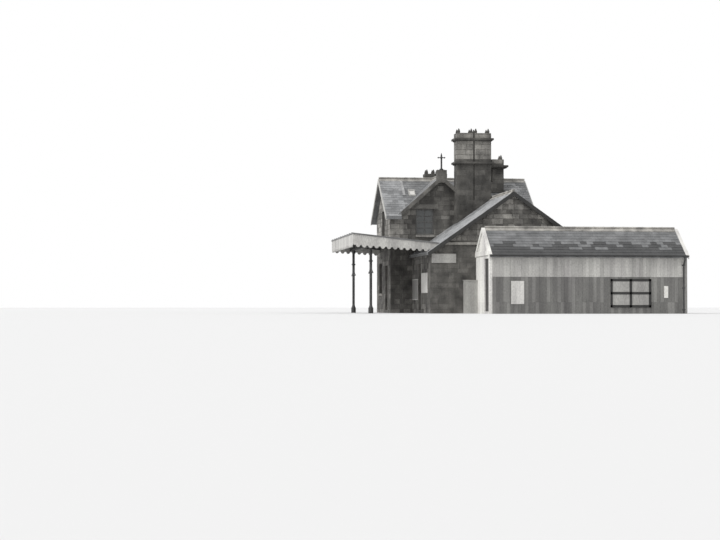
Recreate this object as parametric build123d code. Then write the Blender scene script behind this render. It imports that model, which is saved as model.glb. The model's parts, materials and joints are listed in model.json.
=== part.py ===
"""A small railway station: a house with a cross gable, a lower wing, a canopy and an end block.

Millimetres, +Z up. While it is drawn, X runs from the canopy's front edge (0) away from
the track, Y runs along the track from the end block's front wall (0), and Z is up from the
platform. At the end everything moves so that the origin is the middle of the plan.
"""
from build123d import *
import os
from math import atan2, cos, degrees, pi, sqrt

os.makedirs("parts", exist_ok=True)

# Plan of the three blocks
canopy_reach = 3500        # fascia's front to the wing's platform wall
house_step = 1060          # the house stands this far in front of the wing's platform wall
house_width = 6850         # across the track
house_depth = 4600         # along the track
wing_width = 7560
wing_length = 4900
shed_setback = 2090        # wing's platform wall to the end block's platform end
shed_length = 8850
shed_depth = 2800

# Heights to the underside of the roofs
house_ridge_under = 6440
house_eaves = 4700
wing_ridge_under = 5380
wing_eaves = 2730
shed_ridge_under = 3660
shed_eaves = 2560
upper_floor_top = 2950

# Shell thicknesses
stone_wall = 450
timber_wall = 120
floor_slab = 150
upper_floor_thickness = 200
shed_floor_slab = 100
slate_roof = 120
wing_slate_roof = 100
shed_slate_roof = 80

# Overhangs
house_eaves_overhang = 300
house_verge_overhang = 250
wing_eaves_overhang = 150
wing_verge_overhang = 200
cross_verge_overhang = 200
shed_eaves_overhang = 150
shed_verge_overhang = 20
wing_toothing = 450        # the wing runs on past the house's near wall by this

# Cross gable on the house's near wall
cross_centre = 2440        # from the house's platform corner
cross_half_span = 1950

# Coping of the cross gable, with a flat block at its top
coping_depth = 220
coping_width = 100
apex_block_width = 480
apex_block_depth = 300
apex_block_drop = 190      # its foot below the underside of the ridge
apex_block_rise = 417      # its top above the underside of the ridge

# Verge boards, ridge tiles and the gable cross
barge_depth = 180
barge_thickness = 40
wing_barge_depth = 200
shed_barge_depth = 160
verge_cap_width = 150      # white capping on the end block's verges
verge_cap = 30
end_rail_bottom = 2540     # white rail across the end block's platform end
end_rail_height = 200
ridge_leg = 190
ridge_tile = 30
ridge_roll = 45
finial_height = 820
finial_shaft_radius = 42
finial_arm_height = 600
finial_arm_reach = 150
finial_knob_radius = 62
finial_tip_radius = 10
finial_foot_radius = 104
iron_sides = 8             # flat sides of the finial and of a column's foot

# Chimney stacks
stack_groove = 70
band_height = 90
band_projection = 120
band_step = 60
crown_wall = 190
flue_depth = 500
pinnacle_size = 110
pinnacle_post = 90         # straight part of a pinnacle
pinnacle_height = 220
pinnacle_tip = 28
pinnacle_inset = 110       # its middle from the shaft's faces
plinth_projection = 60

tall_stack_offset = 3095   # from the house's platform corner
tall_stack_width = 1650
tall_stack_depth = 700
tall_stack_top = 8610
tall_stack_band_drops = (1470, 340)    # each band's level below the stack's top

right_stack_offset = 4640
right_stack_width = 1200
right_stack_depth = 600
right_stack_inset = 1400   # from the near wall's face
right_stack_rise = 1120     # above the underside of the house's ridge
right_stack_band_drops = (390,)
right_stack_band_projection = 200
right_stack_plinth_lift = 10    # the plinth's foot above the slates in front of it

left_stack_offset = 2290
left_stack_width = 1120
left_stack_depth = 600
left_stack_rise = 560
left_stack_band_drops = (440,)

# Roof light on the near slope
roof_light_offset = 1235   # centre, from the house's platform corner
roof_light_drop = 1000     # its middle from the ridge, measured on the plan
roof_light_width = 330
roof_light_length = 400    # measured on the plan
roof_light_frame = 35
roof_light_stand = 60      # above the slates

# Openings
reveal = 110               # frames stand this far behind the wall's face
frame_face = 70
frame_depth = 90
sash_bar = 45
pane = 12
sill_projection = 60
sill_height = 110
door_leaf = 50
door_panel_recess = 14
door_stile = 110
door_rail_height = 900     # middle of the lock rail, above the door's foot
door_setback = 22          # the leaf's face behind the face of its frame

window_width = 950
ground_window_height = 1500
ground_sill = 950
upper_window_height = 1250
upper_sill = 3750
gable_window_width = 900
gable_window_height = 1250
gable_window_offset = 1660  # centre, from the house's platform corner
house_platform_window_offset = 3250
house_platform_door_offset = 1250
house_upper_window_offset = 2300
house_far_window_offset = 1500
house_far_second_window_offset = 5300
house_back_window_offset = 2300
single_door_width = 950
double_door_width = 1500
wing_platform_door_width = 850
door_height = 2150
wing_platform_door_offset = 2750
wing_back_door_offset = 2700
wing_back_window_offset = 1150
wing_back_second_window_offset = 4250
shed_door_offset = 580
shed_door_width = 860
shed_door_height = 2300

# Canopy
canopy_length = 8250
canopy_setback = 100       # behind the wing's gable face
canopy_front_top = 3600
canopy_slope = 0.109       # fall towards the wall
deck_thickness = 50
deck_lip = 30              # the deck passes the fascia by this
rafter_depth = 160
rafter_width = 70
rafter_count = 9
fascia_thickness = 45
fascia_bottom = 3110
fascia_bottom_slope = 0.058
valance_thickness = 22
valance_drop = 40
scallop_pitch = 280
scallop_radius = 95
scallop_sides = 12         # flat sides of a whole tongue, of which half show
beam_depth = 230
beam_width = 130
column_inset = 970
column_near = 1150
column_far = 7350
column_foot_radius = 115
column_foot_height = 260
column_radius = 62
column_head_radius = 120
column_head_height = 125
column_taper_radius = 95
column_taper_height = 125
column_collar_radius = 93
column_collar_thickness = 62
column_collar_height = 2380
bracket_reach = 620
bracket_thickness = 40
bracket_width = 60

# End block dressings, boards and the locker
store_width = 600
store_depth = 380
store_height = 1460
store_lid = 40
store_lid_lip = 25
string_course_height = 110
string_course_projection = 60
string_course_level = 3090

board_thickness = 40
name_board_length = 1110
name_board_height = 410
name_board_level = 2270
name_board_from_corner = 50
name_board_rim = 40
name_board_recess = 10
near_wall_board_offset = 660    # along the wing's platform wall, from its near corner
near_wall_board_length = 1560
near_wall_board_level = 930
near_wall_board_height = 920
far_wall_board_offset = 3270
far_wall_board_length = 1480
far_wall_board_level = 620
far_wall_board_height = 980
poster_width = 570
poster_height = 1000
poster_offset = 950
poster_level = 420
double_board_width = 1850
double_board_height = 1250
double_board_from_end = 3490
double_board_level = 270
double_board_frame = 60
double_board_recess = 15
small_board_width = 180
small_board_height = 520
small_board_from_end = 1050
small_board_level = 690

# Gutters and pipes
gutter_radius = 62
gutter_wall = 8
pipe_radius = 40
pipe_corner_gap = 160
pipe_bend_radius = 64
swan_neck_start = 120      # straight fall under the gutter
swan_neck_drop = 380

# Worked-out places
wing_x0 = canopy_reach
wing_x1 = wing_x0 + wing_width
wing_mid = (wing_x0 + wing_x1) / 2
house_x0 = wing_x0 - house_step
house_x1 = house_x0 + house_width
shed_x0 = wing_x0 + shed_setback
shed_x1 = shed_x0 + shed_length
wing_y0 = shed_depth
house_y0 = wing_y0 + wing_length
house_y1 = house_y0 + house_depth
house_mid = (house_y0 + house_y1) / 2
shed_mid = shed_depth / 2
cross_x = house_x0 + cross_centre
apex_block_top = house_ridge_under + apex_block_rise
right_stack_top = house_ridge_under + right_stack_rise
left_stack_top = house_ridge_under + left_stack_rise
near, far = -1, 1          # the two sides of a ridge

house_pitch = (house_ridge_under - house_eaves) / (house_depth / 2)
wing_pitch = (wing_ridge_under - wing_eaves) / (wing_width / 2)
shed_pitch = (shed_ridge_under - shed_eaves) / (shed_depth / 2)
cross_pitch = (house_ridge_under - house_eaves) / cross_half_span


def upright(thickness, pitch):
    """Height of a sloping layer measured straight up."""
    return thickness * sqrt(1 + pitch * pitch)


house_layer = upright(slate_roof, house_pitch)
wing_layer = upright(wing_slate_roof, wing_pitch)
shed_layer = upright(shed_slate_roof, shed_pitch)
cross_layer = house_layer   # both house roofs share one ridge height


def block(x0, x1, y0, y1, z0, z1):
    """A box from its lowest to its highest corner."""
    return Pos((x0 + x1) / 2, (y0 + y1) / 2, (z0 + z1) / 2) * Box(x1 - x0, y1 - y0, z1 - z0)


def prism_along_y(points, y0, y1):
    """An outline of (x, z) points drawn out from y0 to y1."""
    outline = Polyline(*[(x, y0, z) for x, z in points], close=True)
    return extrude(make_face(outline), amount=y1 - y0, dir=(0, 1, 0))


def prism_along_x(points, x0, x1):
    """An outline of (y, z) points drawn out from x0 to x1."""
    outline = Polyline(*[(x0, y, z) for y, z in points], close=True)
    return extrude(make_face(outline), amount=x1 - x0, dir=(1, 0, 0))


def slope_outline(middle, side, half_span, ridge, pitch, layer, overhang):
    """Outline of one roof slope, from the ridge down past the wall by the overhang."""
    run = half_span + overhang
    foot = ridge - run * pitch
    edge = middle + side * run
    return [(middle, ridge), (edge, foot), (edge, foot + layer), (middle, ridge + layer)]


def tent_outline(middle, half_span, ridge, pitch, bottom):
    """Outline of everything below two slopes that meet at a ridge."""
    foot = ridge - half_span * pitch
    return [(middle - half_span, bottom), (middle + half_span, bottom),
            (middle + half_span, foot), (middle, ridge), (middle - half_span, foot)]


def barge_outline(middle, side, half_run, ridge_top, pitch, depth):
    """Outline of one verge board, its top along the slates' top."""
    foot = ridge_top - half_run * pitch
    edge = middle + side * half_run
    return [(middle, ridge_top), (edge, foot), (edge, foot - depth), (middle, ridge_top - depth)]


def ridge_outline(middle, ridge_top, pitch):
    """Outline of an angled ridge tile that lies on both slopes."""
    run = ridge_leg / sqrt(1 + pitch * pitch)
    drop = run * pitch
    lift = upright(ridge_tile, pitch)
    return [(middle, ridge_top), (middle + run, ridge_top - drop),
            (middle + run, ridge_top - drop + lift), (middle, ridge_top + lift),
            (middle - run, ridge_top - drop + lift), (middle - run, ridge_top - drop)]


# Walls with openings
class Opening:
    """A window or doorway: which way its wall faces, and where it sits on that wall."""

    def __init__(self, faces, face_at, centre, sill, width, height, thickness=stone_wall):
        self.faces = faces          # outward normal: "-x", "+x", "-y" or "+y"
        self.face_at = face_at      # the wall's outer face
        self.centre = centre        # along the wall
        self.sill = sill
        self.width = width
        self.height = height
        self.thickness = thickness
        self.inward = 1 if faces[0] == "-" else -1

    def slab(self, margin, front, back, low=0, high=0):
        """A box over the opening, shrunk by margin, between two depths behind the face."""
        a = self.centre - self.width / 2 + margin
        b = self.centre + self.width / 2 - margin
        d0, d1 = sorted((self.face_at + self.inward * front, self.face_at + self.inward * back))
        z0 = self.sill + margin + low
        z1 = self.sill + self.height - margin - high
        if self.faces[1] == "x":
            return block(d0, d1, a, b, z0, z1)
        return block(a, b, d0, d1, z0, z1)

    def cut(self):
        """The hole through the wall."""
        return self.slab(0, 0, self.thickness)

    def sill_stone(self):
        """The projecting sill that the window stands on, let into the wall."""
        return self.slab(0, -sill_projection, reveal + frame_depth, low=-sill_height,
                         high=self.height)

    def frame(self):
        """Four frame members with one meeting rail across the middle."""
        outer = self.slab(0, reveal, reveal + frame_depth)
        inner_height = self.height - 2 * frame_face
        lower = self.slab(frame_face, reveal, reveal + frame_depth,
                          high=(inner_height + sash_bar) / 2)
        upper = self.slab(frame_face, reveal, reveal + frame_depth,
                          low=(inner_height + sash_bar) / 2)
        return outer - lower - upper

    def glass(self):
        """Two panes, one in each half of the frame."""
        middle = reveal + frame_depth / 2
        inner_height = self.height - 2 * frame_face
        lower = self.slab(frame_face, middle - pane / 2, middle + pane / 2,
                          high=(inner_height + sash_bar) / 2)
        upper = self.slab(frame_face, middle - pane / 2, middle + pane / 2,
                          low=(inner_height + sash_bar) / 2)
        return [lower, upper]

    def door(self, leaves):
        """A closed door of sunk panels, one or two leaves, within its frame."""
        face = reveal + door_setback
        leaf = self.slab(frame_face, face, face + door_leaf)
        a = self.centre - self.width / 2 + frame_face
        leaf_width = (self.width - 2 * frame_face) / leaves
        rail = self.sill + door_rail_height
        for number in range(leaves):
            low = a + number * leaf_width
            for z0, z1 in ((self.sill + frame_face + door_stile, rail - door_stile / 2),
                           (rail + door_stile / 2, self.sill + self.height - frame_face - door_stile)):
                leaf -= self.panel(low + door_stile, low + leaf_width - door_stile, z0, z1)
        return leaf

    def panel(self, a, b, z0, z1):
        """The sunk field of one door panel."""
        face = self.face_at + self.inward * (reveal + door_setback)
        d0, d1 = sorted((face, face + self.inward * door_panel_recess))
        if self.faces[1] == "x":
            return block(d0, d1, a, b, z0, z1)
        return block(a, b, d0, d1, z0, z1)

    def door_frame(self):
        """Two posts and a head."""
        outer = self.slab(0, reveal, reveal + frame_depth)
        return outer - self.slab(frame_face, reveal, reveal + frame_depth, low=-frame_face)


house_windows = {
    "near_gable": Opening("-y", house_y0, house_x0 + gable_window_offset, upper_sill,
                          gable_window_width, gable_window_height),
    "platform_ground": Opening("-x", house_x0, house_y0 + house_platform_window_offset,
                               ground_sill, window_width, ground_window_height),
    "platform_upper": Opening("-x", house_x0, house_y0 + house_upper_window_offset,
                              upper_sill, window_width, upper_window_height),
    "far_ground": Opening("+y", house_y1, house_x0 + house_far_window_offset,
                          ground_sill, window_width, ground_window_height),
    "far_ground_second": Opening("+y", house_y1, house_x0 + house_far_second_window_offset,
                                 ground_sill, window_width, ground_window_height),
    "back_ground": Opening("+x", house_x1, house_y0 + house_back_window_offset,
                           ground_sill, window_width, ground_window_height),
    "back_upper": Opening("+x", house_x1, house_y0 + house_back_window_offset,
                          upper_sill, window_width, upper_window_height),
}
wing_windows = {
    "back": Opening("+x", wing_x1, wing_y0 + wing_back_window_offset,
                    ground_sill, window_width, ground_window_height),
    "back_second": Opening("+x", wing_x1, wing_y0 + wing_back_second_window_offset,
                           ground_sill, window_width, ground_window_height),
}
house_door = Opening("-x", house_x0, house_y0 + house_platform_door_offset, floor_slab,
                     single_door_width, door_height)
wing_platform_door = Opening("-x", wing_x0, wing_y0 + wing_platform_door_offset, floor_slab,
                             wing_platform_door_width, door_height)
wing_back_door = Opening("+x", wing_x1, wing_y0 + wing_back_door_offset, floor_slab,
                         double_door_width, door_height)
shed_door_opening = Opening("-x", shed_x0, shed_door_offset, shed_floor_slab,
                            shed_door_width, shed_door_height, timber_wall)


def cut_openings(wall, openings):
    """A wall with its windows, their sills and its doorways cut through."""
    for opening in openings:
        wall -= opening.cut()
        if opening.sill >= ground_sill:
            wall -= opening.sill_stone()
    return wall


def house_gable_wall(x0, openings):
    """A gable wall of the house, up to the underside of its roof."""
    outline = tent_outline(house_mid, house_depth / 2, house_ridge_under, house_pitch, 0)
    return cut_openings(prism_along_x(outline, x0, x0 + stone_wall), openings)


def eaves_wall(outer, inner, eaves, pitch, x0, x1):
    """A wall under the eaves, its top cut to the slope of the roof."""
    rise = abs(inner - outer) * pitch
    outline = [(outer, 0), (inner, 0), (inner, eaves + rise), (outer, eaves)]
    return prism_along_x(outline, x0, x1)


def house_near_wall():
    """The near wall, which carries the cross gable."""
    wall = eaves_wall(house_y0, house_y0 + stone_wall, house_eaves, house_pitch,
                      house_x0 + stone_wall, house_x1 - stone_wall)
    gable = tent_outline(cross_x, cross_half_span, house_ridge_under, cross_pitch, 0)
    wall += prism_along_y(gable, house_y0, house_y0 + stone_wall)
    wall &= block(house_x0 + stone_wall, house_x1 - stone_wall, house_y0, house_y0 + stone_wall,
                  0, house_ridge_under)
    return cut_openings(wall, [house_windows["near_gable"]])


def house_far_wall():
    """The far wall under the eaves."""
    wall = eaves_wall(house_y1, house_y1 - stone_wall, house_eaves, house_pitch,
                      house_x0 + stone_wall, house_x1 - stone_wall)
    return cut_openings(wall, [house_windows["far_ground"], house_windows["far_ground_second"]])


# Chimney stacks
tall_x = house_x0 + tall_stack_offset
tall_y = house_y0 - tall_stack_depth
right_x = house_x0 + right_stack_offset
right_y = house_y0 + right_stack_inset
left_x = house_x0 + left_stack_offset
left_y = house_y1 - stone_wall - left_stack_depth

# What each stack takes out of the floor and the roofs that it passes through
tall_hole = block(tall_x, tall_x + tall_stack_width, tall_y, tall_y + tall_stack_depth,
                  0, tall_stack_top)
right_hole = block(right_x, right_x + right_stack_width, right_y, right_y + right_stack_depth,
                   0, right_stack_top)
left_hole = block(left_x, left_x + left_stack_width, left_y, left_y + left_stack_depth,
                  0, left_stack_top)


def pinnacle(x, y, z):
    """A small square post that runs up to a point."""
    half = pinnacle_size / 2
    base = block(x - half, x + half, y - half, y + half, z, z + pinnacle_post)
    rise = pinnacle_height - pinnacle_post
    slant = degrees(atan2(half - pinnacle_tip / 2, rise))
    foot = Pos(x, y, z + pinnacle_post) * Rectangle(pinnacle_size, pinnacle_size)
    return base + extrude(foot, amount=rise, taper=slant)


def chimney_stack(x0, width, y0, depth, top, band_drops, groove_from, wall_behind=False,
                  projection=band_projection, inner_pinnacles=True):
    """Two square shafts in one mass, with bands, sunk flues and corner pinnacles."""
    x1, y1, middle = x0 + width, y0 + depth, x0 + width / 2
    stack = block(x0, x1, y0, y1, floor_slab, top)
    grooved_faces = (y0,) if wall_behind else (y0, y1)
    for face in grooved_faces:
        stack -= block(middle - stack_groove / 2, middle + stack_groove / 2,
                       face - stack_groove / 2, face + stack_groove / 2, groove_from, top)
    for drop in band_drops:
        stack += stack_band(x0, x1, y0, y1, top - drop, wall_behind, projection)
    for a, b in ((x0, middle), (middle, x1)):
        stack -= block(a + crown_wall, b - crown_wall, y0 + crown_wall, y1 - crown_wall,
                       top - flue_depth, top)
    places = [x0 + pinnacle_inset, x1 - pinnacle_inset]
    if inner_pinnacles:
        places += [middle - pinnacle_inset, middle + pinnacle_inset]
    for x in places:
        for y in (y0 + pinnacle_inset, y1 - pinnacle_inset):
            stack += pinnacle(x, y, top)
    return stack


def stack_band(x0, x1, y0, y1, level, wall_behind, projection):
    """A band round a stack in two steps; below the roof it stops at the wall behind."""
    band = None
    for step, z0 in ((projection, level), (projection - band_step, level - band_height / 2)):
        back = y1 if wall_behind and level < house_ridge_under else y1 + step
        course = block(x0 - step, x1 + step, y0 - step, back, z0, z0 + band_height)
        band = course if band is None else band + course
    return band


# Roofs
def house_main_slope(side):
    """One slope of the main roof, out to both verges."""
    outline = slope_outline(house_mid, side, house_depth / 2, house_ridge_under, house_pitch,
                            house_layer, house_eaves_overhang)
    return prism_along_x(outline, house_x0 - house_verge_overhang, house_x1 + house_verge_overhang)


def wing_tent(layer, y0, y1):
    """Everything below the wing's roof, to its underside or with a layer to its top."""
    half = wing_width / 2 + wing_eaves_overhang
    outline = tent_outline(wing_mid, half, wing_ridge_under + layer, wing_pitch, 0)
    return prism_along_y(outline, y0, y1)


def slates_top(y):
    """Height of the slates' top on the near slope, at a place along the track."""
    return house_ridge_under + house_layer - (house_mid - y) * house_pitch


def roof_light_plan(margin):
    """The roof light seen from above, shrunk by margin: its x and y limits."""
    x, y = house_x0 + roof_light_offset, house_mid - roof_light_drop
    half_width, half_length = roof_light_width / 2 - margin, roof_light_length / 2 - margin
    return x - half_width, x + half_width, y - half_length, y + half_length


def roof_light_solid(margin, stand, sunk):
    """An upright box through the near slope with its top and foot along the slope."""
    x0, x1, y0, y1 = roof_light_plan(margin)
    outline = [(y0, slates_top(y0) - sunk), (y1, slates_top(y1) - sunk),
               (y1, slates_top(y1) + stand), (y0, slates_top(y0) + stand)]
    return prism_along_x(outline, x0, x1)


def roof_light():
    """The roof light's frame, which lines its hole and stands a little above the slates."""
    outer = roof_light_solid(0, roof_light_stand, house_layer)
    return outer - roof_light_solid(roof_light_frame, roof_light_stand, house_layer)


def roof_light_pane():
    """The pane in the roof light, level with the slates."""
    return roof_light_solid(roof_light_frame, pane / 2, pane / 2)


def house_near_roof():
    """The near slope, open under the cross gable, where the wing meets it and at a stack."""
    slope = house_main_slope(near)
    tent = tent_outline(cross_x, cross_half_span, house_ridge_under, cross_pitch, 0)
    slope -= prism_along_y(tent, house_y0 - house_eaves_overhang, house_mid)
    slope -= wing_tent(wing_layer, wing_y0, house_y0)
    slope -= block(*roof_light_plan(0), 0, house_ridge_under + house_layer)
    return slope - tall_hole - right_hole


def house_far_roof():
    """The far slope, open at the stack."""
    return house_main_slope(far) - left_hole


# The space in front of the near wall from the tall stack on, which the cross gable keeps clear
right_of_stack = block(tall_x, house_x1, tall_y, house_y0, 0, tall_stack_top)


def apex_block():
    """The flat block at the top of the cross gable's coping."""
    return block(cross_x - apex_block_width / 2, cross_x + apex_block_width / 2,
                 house_y0 - apex_block_depth, house_y0, house_ridge_under - apex_block_drop,
                 apex_block_top)


def cross_gable_coping():
    """Dark stones along the cross gable's verges, up to the apex block."""
    y0 = house_y0 - cross_verge_overhang - coping_width
    coping = barge_pair_along_y(cross_x, cross_half_span, house_ridge_under + cross_layer,
                                cross_pitch, coping_depth, y0, coping_width)
    return coping - right_of_stack + apex_block()


def cross_gable_roof():
    """Two slopes on the cross gable, which run back until they die into the main roof."""
    y0 = house_y0 - cross_verge_overhang
    roof = None
    for side in (near, far):
        toe = cross_layer / cross_pitch
        foot = cross_x + side * cross_half_span
        outline = [(cross_x, house_ridge_under), (foot, house_eaves),
                   (foot + side * toe, house_eaves), (cross_x, house_ridge_under + cross_layer)]
        slope = prism_along_y(outline, y0, house_mid)
        roof = slope if roof is None else roof + slope
    below_main = tent_outline(house_mid, house_depth / 2 + house_eaves_overhang,
                              house_ridge_under + house_layer, house_pitch, 0)
    roof -= prism_along_x(below_main, house_x0 - house_step, house_x1)
    return roof - right_of_stack - apex_block()


def house_mass():
    """The house as the wing's roof meets it: its walls and the tops of its roofs."""
    mass = block(house_x0, house_x1, house_y0, house_y1, 0, house_eaves)
    main = tent_outline(house_mid, house_depth / 2, house_ridge_under + house_layer,
                        house_pitch, house_eaves - slate_roof)
    mass += prism_along_x(main, house_x0, house_x1)
    toe = cross_layer / cross_pitch
    cross = tent_outline(cross_x, cross_half_span + toe, house_ridge_under + cross_layer,
                         cross_pitch, house_eaves - slate_roof)
    return mass + prism_along_y(cross, house_y0, house_mid)


# Everything below the top of the end block's slates, which the wing's low verge stops at
under_shed_slates = prism_along_x(tent_outline(shed_mid, shed_depth / 2,
                                               shed_ridge_under + shed_layer, shed_pitch, 0),
                                  shed_x0, shed_x1)


def wing_slope(side):
    """One slope of the wing's roof, from the verge until it dies into the house."""
    outline = slope_outline(wing_mid, side, wing_width / 2, wing_ridge_under, wing_pitch,
                            wing_layer, wing_eaves_overhang)
    slope = prism_along_y(outline, wing_y0 - wing_verge_overhang, house_mid)
    slope -= house_mass()
    past_lap = house_y0 + wing_toothing + barge_thickness
    slope -= block(house_x1, wing_x1 + wing_eaves_overhang, past_lap, house_mid,
                   0, house_ridge_under)
    before = block(house_x0, wing_x0, house_y0, house_mid, 0, house_ridge_under)
    return slope - before - tall_hole - under_shed_slates


def shed_slope(side):
    """One slope of the end block's roof; the back one stops at the wing."""
    overhang = shed_eaves_overhang if side == near else 0
    outline = slope_outline(shed_mid, side, shed_depth / 2, shed_ridge_under, shed_pitch,
                            shed_layer, overhang)
    return prism_along_x(outline, shed_x0 - shed_verge_overhang, shed_x1 + shed_verge_overhang)


def roll_middle(ridge_top, pitch):
    """Height of the middle of the round roll, half sunk in the ridge tiles' top."""
    return ridge_top + upright(ridge_tile, pitch) + ridge_roll / 2


house_roll_middle = roll_middle(house_ridge_under + house_layer, house_pitch)


def roll_along_x(x0, x1, y, z):
    """A round bar along X."""
    return Pos((x0 + x1) / 2, y, z) * Rot(0, 90, 0) * Cylinder(ridge_roll, x1 - x0)


def roll_along_y(x, y0, y1, z):
    """A round bar along Y."""
    return Pos(x, (y0 + y1) / 2, z) * Rot(90, 0, 0) * Cylinder(ridge_roll, y1 - y0)


def house_ridge_tiles():
    """The main ridge and the cross gable's ridge, joined where they meet."""
    top = house_ridge_under + house_layer
    x0, x1 = house_x0 - house_verge_overhang, house_x1 + house_verge_overhang
    main = prism_along_x(ridge_outline(house_mid, top, house_pitch), x0, x1)
    main += roll_along_x(x0, x1, house_mid, house_roll_middle)
    cross_top = house_ridge_under + cross_layer
    y0 = house_y0 - cross_verge_overhang
    cross = prism_along_y(ridge_outline(cross_x, cross_top, cross_pitch), y0, house_mid)
    cross += roll_along_y(cross_x, y0, house_mid, house_roll_middle)
    tiles = main + cross
    below_main = tent_outline(house_mid, house_depth / 2, top, house_pitch, 0)
    below_cross = tent_outline(cross_x, cross_half_span, cross_top, cross_pitch, 0)
    tiles -= prism_along_x(below_main, x0, x1)
    return tiles - prism_along_y(below_cross, y0, house_mid) - apex_block()


def wing_ridge_tiles():
    """The wing's ridge, up to where it meets the house."""
    top = wing_ridge_under + wing_layer
    y0 = wing_y0 - wing_verge_overhang
    tiles = prism_along_y(ridge_outline(wing_mid, top, wing_pitch), y0, house_mid)
    tiles += roll_along_y(wing_mid, y0, house_mid, roll_middle(top, wing_pitch))
    return tiles - house_mass() - tall_hole


# Outer faces of the end block's verge boards
shed_verge_x0 = shed_x0 - shed_verge_overhang - barge_thickness
shed_verge_x1 = shed_x1 + shed_verge_overhang + barge_thickness


def shed_ridge_tiles():
    """The end block's ridge."""
    top = shed_ridge_under + shed_layer
    x0, x1 = shed_verge_x0 + verge_cap_width, shed_verge_x1 - verge_cap_width
    tiles = prism_along_x(ridge_outline(shed_mid, top, shed_pitch), x0, x1)
    return tiles + roll_along_x(x0, x1, shed_mid, roll_middle(top, shed_pitch))


def barge_pair_along_x(middle, half_run, ridge_top, pitch, depth, x0, run_back=None):
    """Both verge boards of a gable that faces along X."""
    back = half_run if run_back is None else run_back
    front = prism_along_x(barge_outline(middle, near, half_run, ridge_top, pitch, depth),
                          x0, x0 + barge_thickness)
    return front + prism_along_x(barge_outline(middle, far, back, ridge_top, pitch, depth),
                                 x0, x0 + barge_thickness)


def barge_pair_along_y(middle, half_run, ridge_top, pitch, depth, y0, thickness):
    """Both verge boards of a gable that faces along Y."""
    left = prism_along_y(barge_outline(middle, near, half_run, ridge_top, pitch, depth),
                         y0, y0 + thickness)
    return left + prism_along_y(barge_outline(middle, far, half_run, ridge_top, pitch, depth),
                                y0, y0 + thickness)


def house_bargeboards():
    """Verge boards of the two main gables."""
    run = house_depth / 2 + house_eaves_overhang
    top = house_ridge_under + house_layer
    platform = barge_pair_along_x(house_mid, run, top, house_pitch, barge_depth,
                                  house_x0 - house_verge_overhang - barge_thickness)
    back = barge_pair_along_x(house_mid, run, top, house_pitch, barge_depth,
                              house_x1 + house_verge_overhang)
    return [platform, back]


def wing_bargeboards():
    """The dark verge boards of the wing's near gable."""
    run = wing_width / 2 + wing_eaves_overhang
    boards = barge_pair_along_y(wing_mid, run, wing_ridge_under + wing_layer, wing_pitch,
                                wing_barge_depth,
                                wing_y0 - wing_verge_overhang - barge_thickness, barge_thickness)
    return boards - under_shed_slates


def verge_capping(x0):
    """A flat capping over one verge board and the edge of the slates."""
    top = shed_ridge_under + shed_layer
    capping = None
    for side, overhang in ((near, shed_eaves_overhang), (far, 0)):
        outline = slope_outline(shed_mid, side, shed_depth / 2, top, shed_pitch, verge_cap, overhang)
        slope = prism_along_x(outline, x0, x0 + verge_cap_width)
        capping = slope if capping is None else capping + slope
    return capping


def end_rail():
    """The rail across the platform end at the eaves, cut to the slope of the roof."""
    x1 = shed_verge_x0 + barge_thickness
    rail = block(shed_verge_x0, x1, -shed_eaves_overhang, shed_depth, end_rail_bottom,
                 end_rail_bottom + end_rail_height)
    below = tent_outline(shed_mid, shed_depth / 2 + shed_eaves_overhang,
                         shed_ridge_under + shed_layer, shed_pitch, 0)
    return rail & prism_along_x(below, shed_verge_x0, x1)


def shed_bargeboards():
    """Verge boards and cappings of both ends of the end block, with the end rail."""
    front = shed_depth / 2 + shed_eaves_overhang
    top = shed_ridge_under + shed_layer
    platform, far_end = [
        barge_pair_along_x(shed_mid, front, top, shed_pitch, shed_barge_depth, x, shed_depth / 2)
        for x in (shed_verge_x0, shed_verge_x1 - barge_thickness)]
    return [platform + verge_capping(shed_verge_x0) + end_rail(),
            far_end + verge_capping(shed_verge_x1 - verge_cap_width)]


def eight_sided(sections):
    """A form of eight flat sides through (height, radius) sections, standing on the origin."""
    form = None
    for (z0, radius0), (z1, radius1) in zip(sections, sections[1:]):
        inset = (radius0 - radius1) * cos(pi / iron_sides)
        length = extrude(Pos(0, 0, z0) * RegularPolygon(radius0, iron_sides), amount=z1 - z0,
                         taper=degrees(atan2(inset, z1 - z0)))
        form = length if form is None else form + length
    return form


def gable_finial():
    """The iron cross on the cross gable: a shaft, two arms with knobs and a point."""
    shaft, knob, arm_z = finial_shaft_radius, finial_knob_radius, finial_arm_height
    foot, tip, reach = finial_foot_radius, finial_tip_radius, finial_arm_reach
    upright_part = eight_sided([(0, foot), (shaft, foot), (2 * shaft, shaft),
                                (arm_z - knob, shaft), (arm_z, knob), (arm_z + knob, shaft),
                                (finial_height - 3 * shaft, shaft), (finial_height, tip)])
    arm = eight_sided([(0, shaft / 2), (reach - shaft, shaft / 2), (reach, shaft),
                       (reach + shaft, tip)])
    cross = upright_part + Pos(0, 0, arm_z) * Rot(0, 90, 0) * arm
    cross += Pos(0, 0, arm_z) * Rot(0, -90, 0) * arm
    return Pos(cross_x, house_y0 - apex_block_depth / 2, apex_block_top) * cross


# Canopy
def deck_top(x):
    """Height of the canopy's deck at a place across it."""
    return canopy_front_top - x * canopy_slope


canopy_y0 = wing_y0 + canopy_setback
canopy_y1 = canopy_y0 + canopy_length


# Everything below the top of the wing's slates, where the canopy runs over its slope
under_wing_slates = wing_tent(wing_layer, wing_y0, house_y0)


def canopy_layer(lower, upper, front, back, y0, y1):
    """A sloping layer of the canopy between two depths under the deck's top."""
    outline = [(front, deck_top(front) - upper), (back, deck_top(back) - upper),
               (back, deck_top(back) - lower), (front, deck_top(front) - lower)]
    return prism_along_y(outline, y0, y1)


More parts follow.
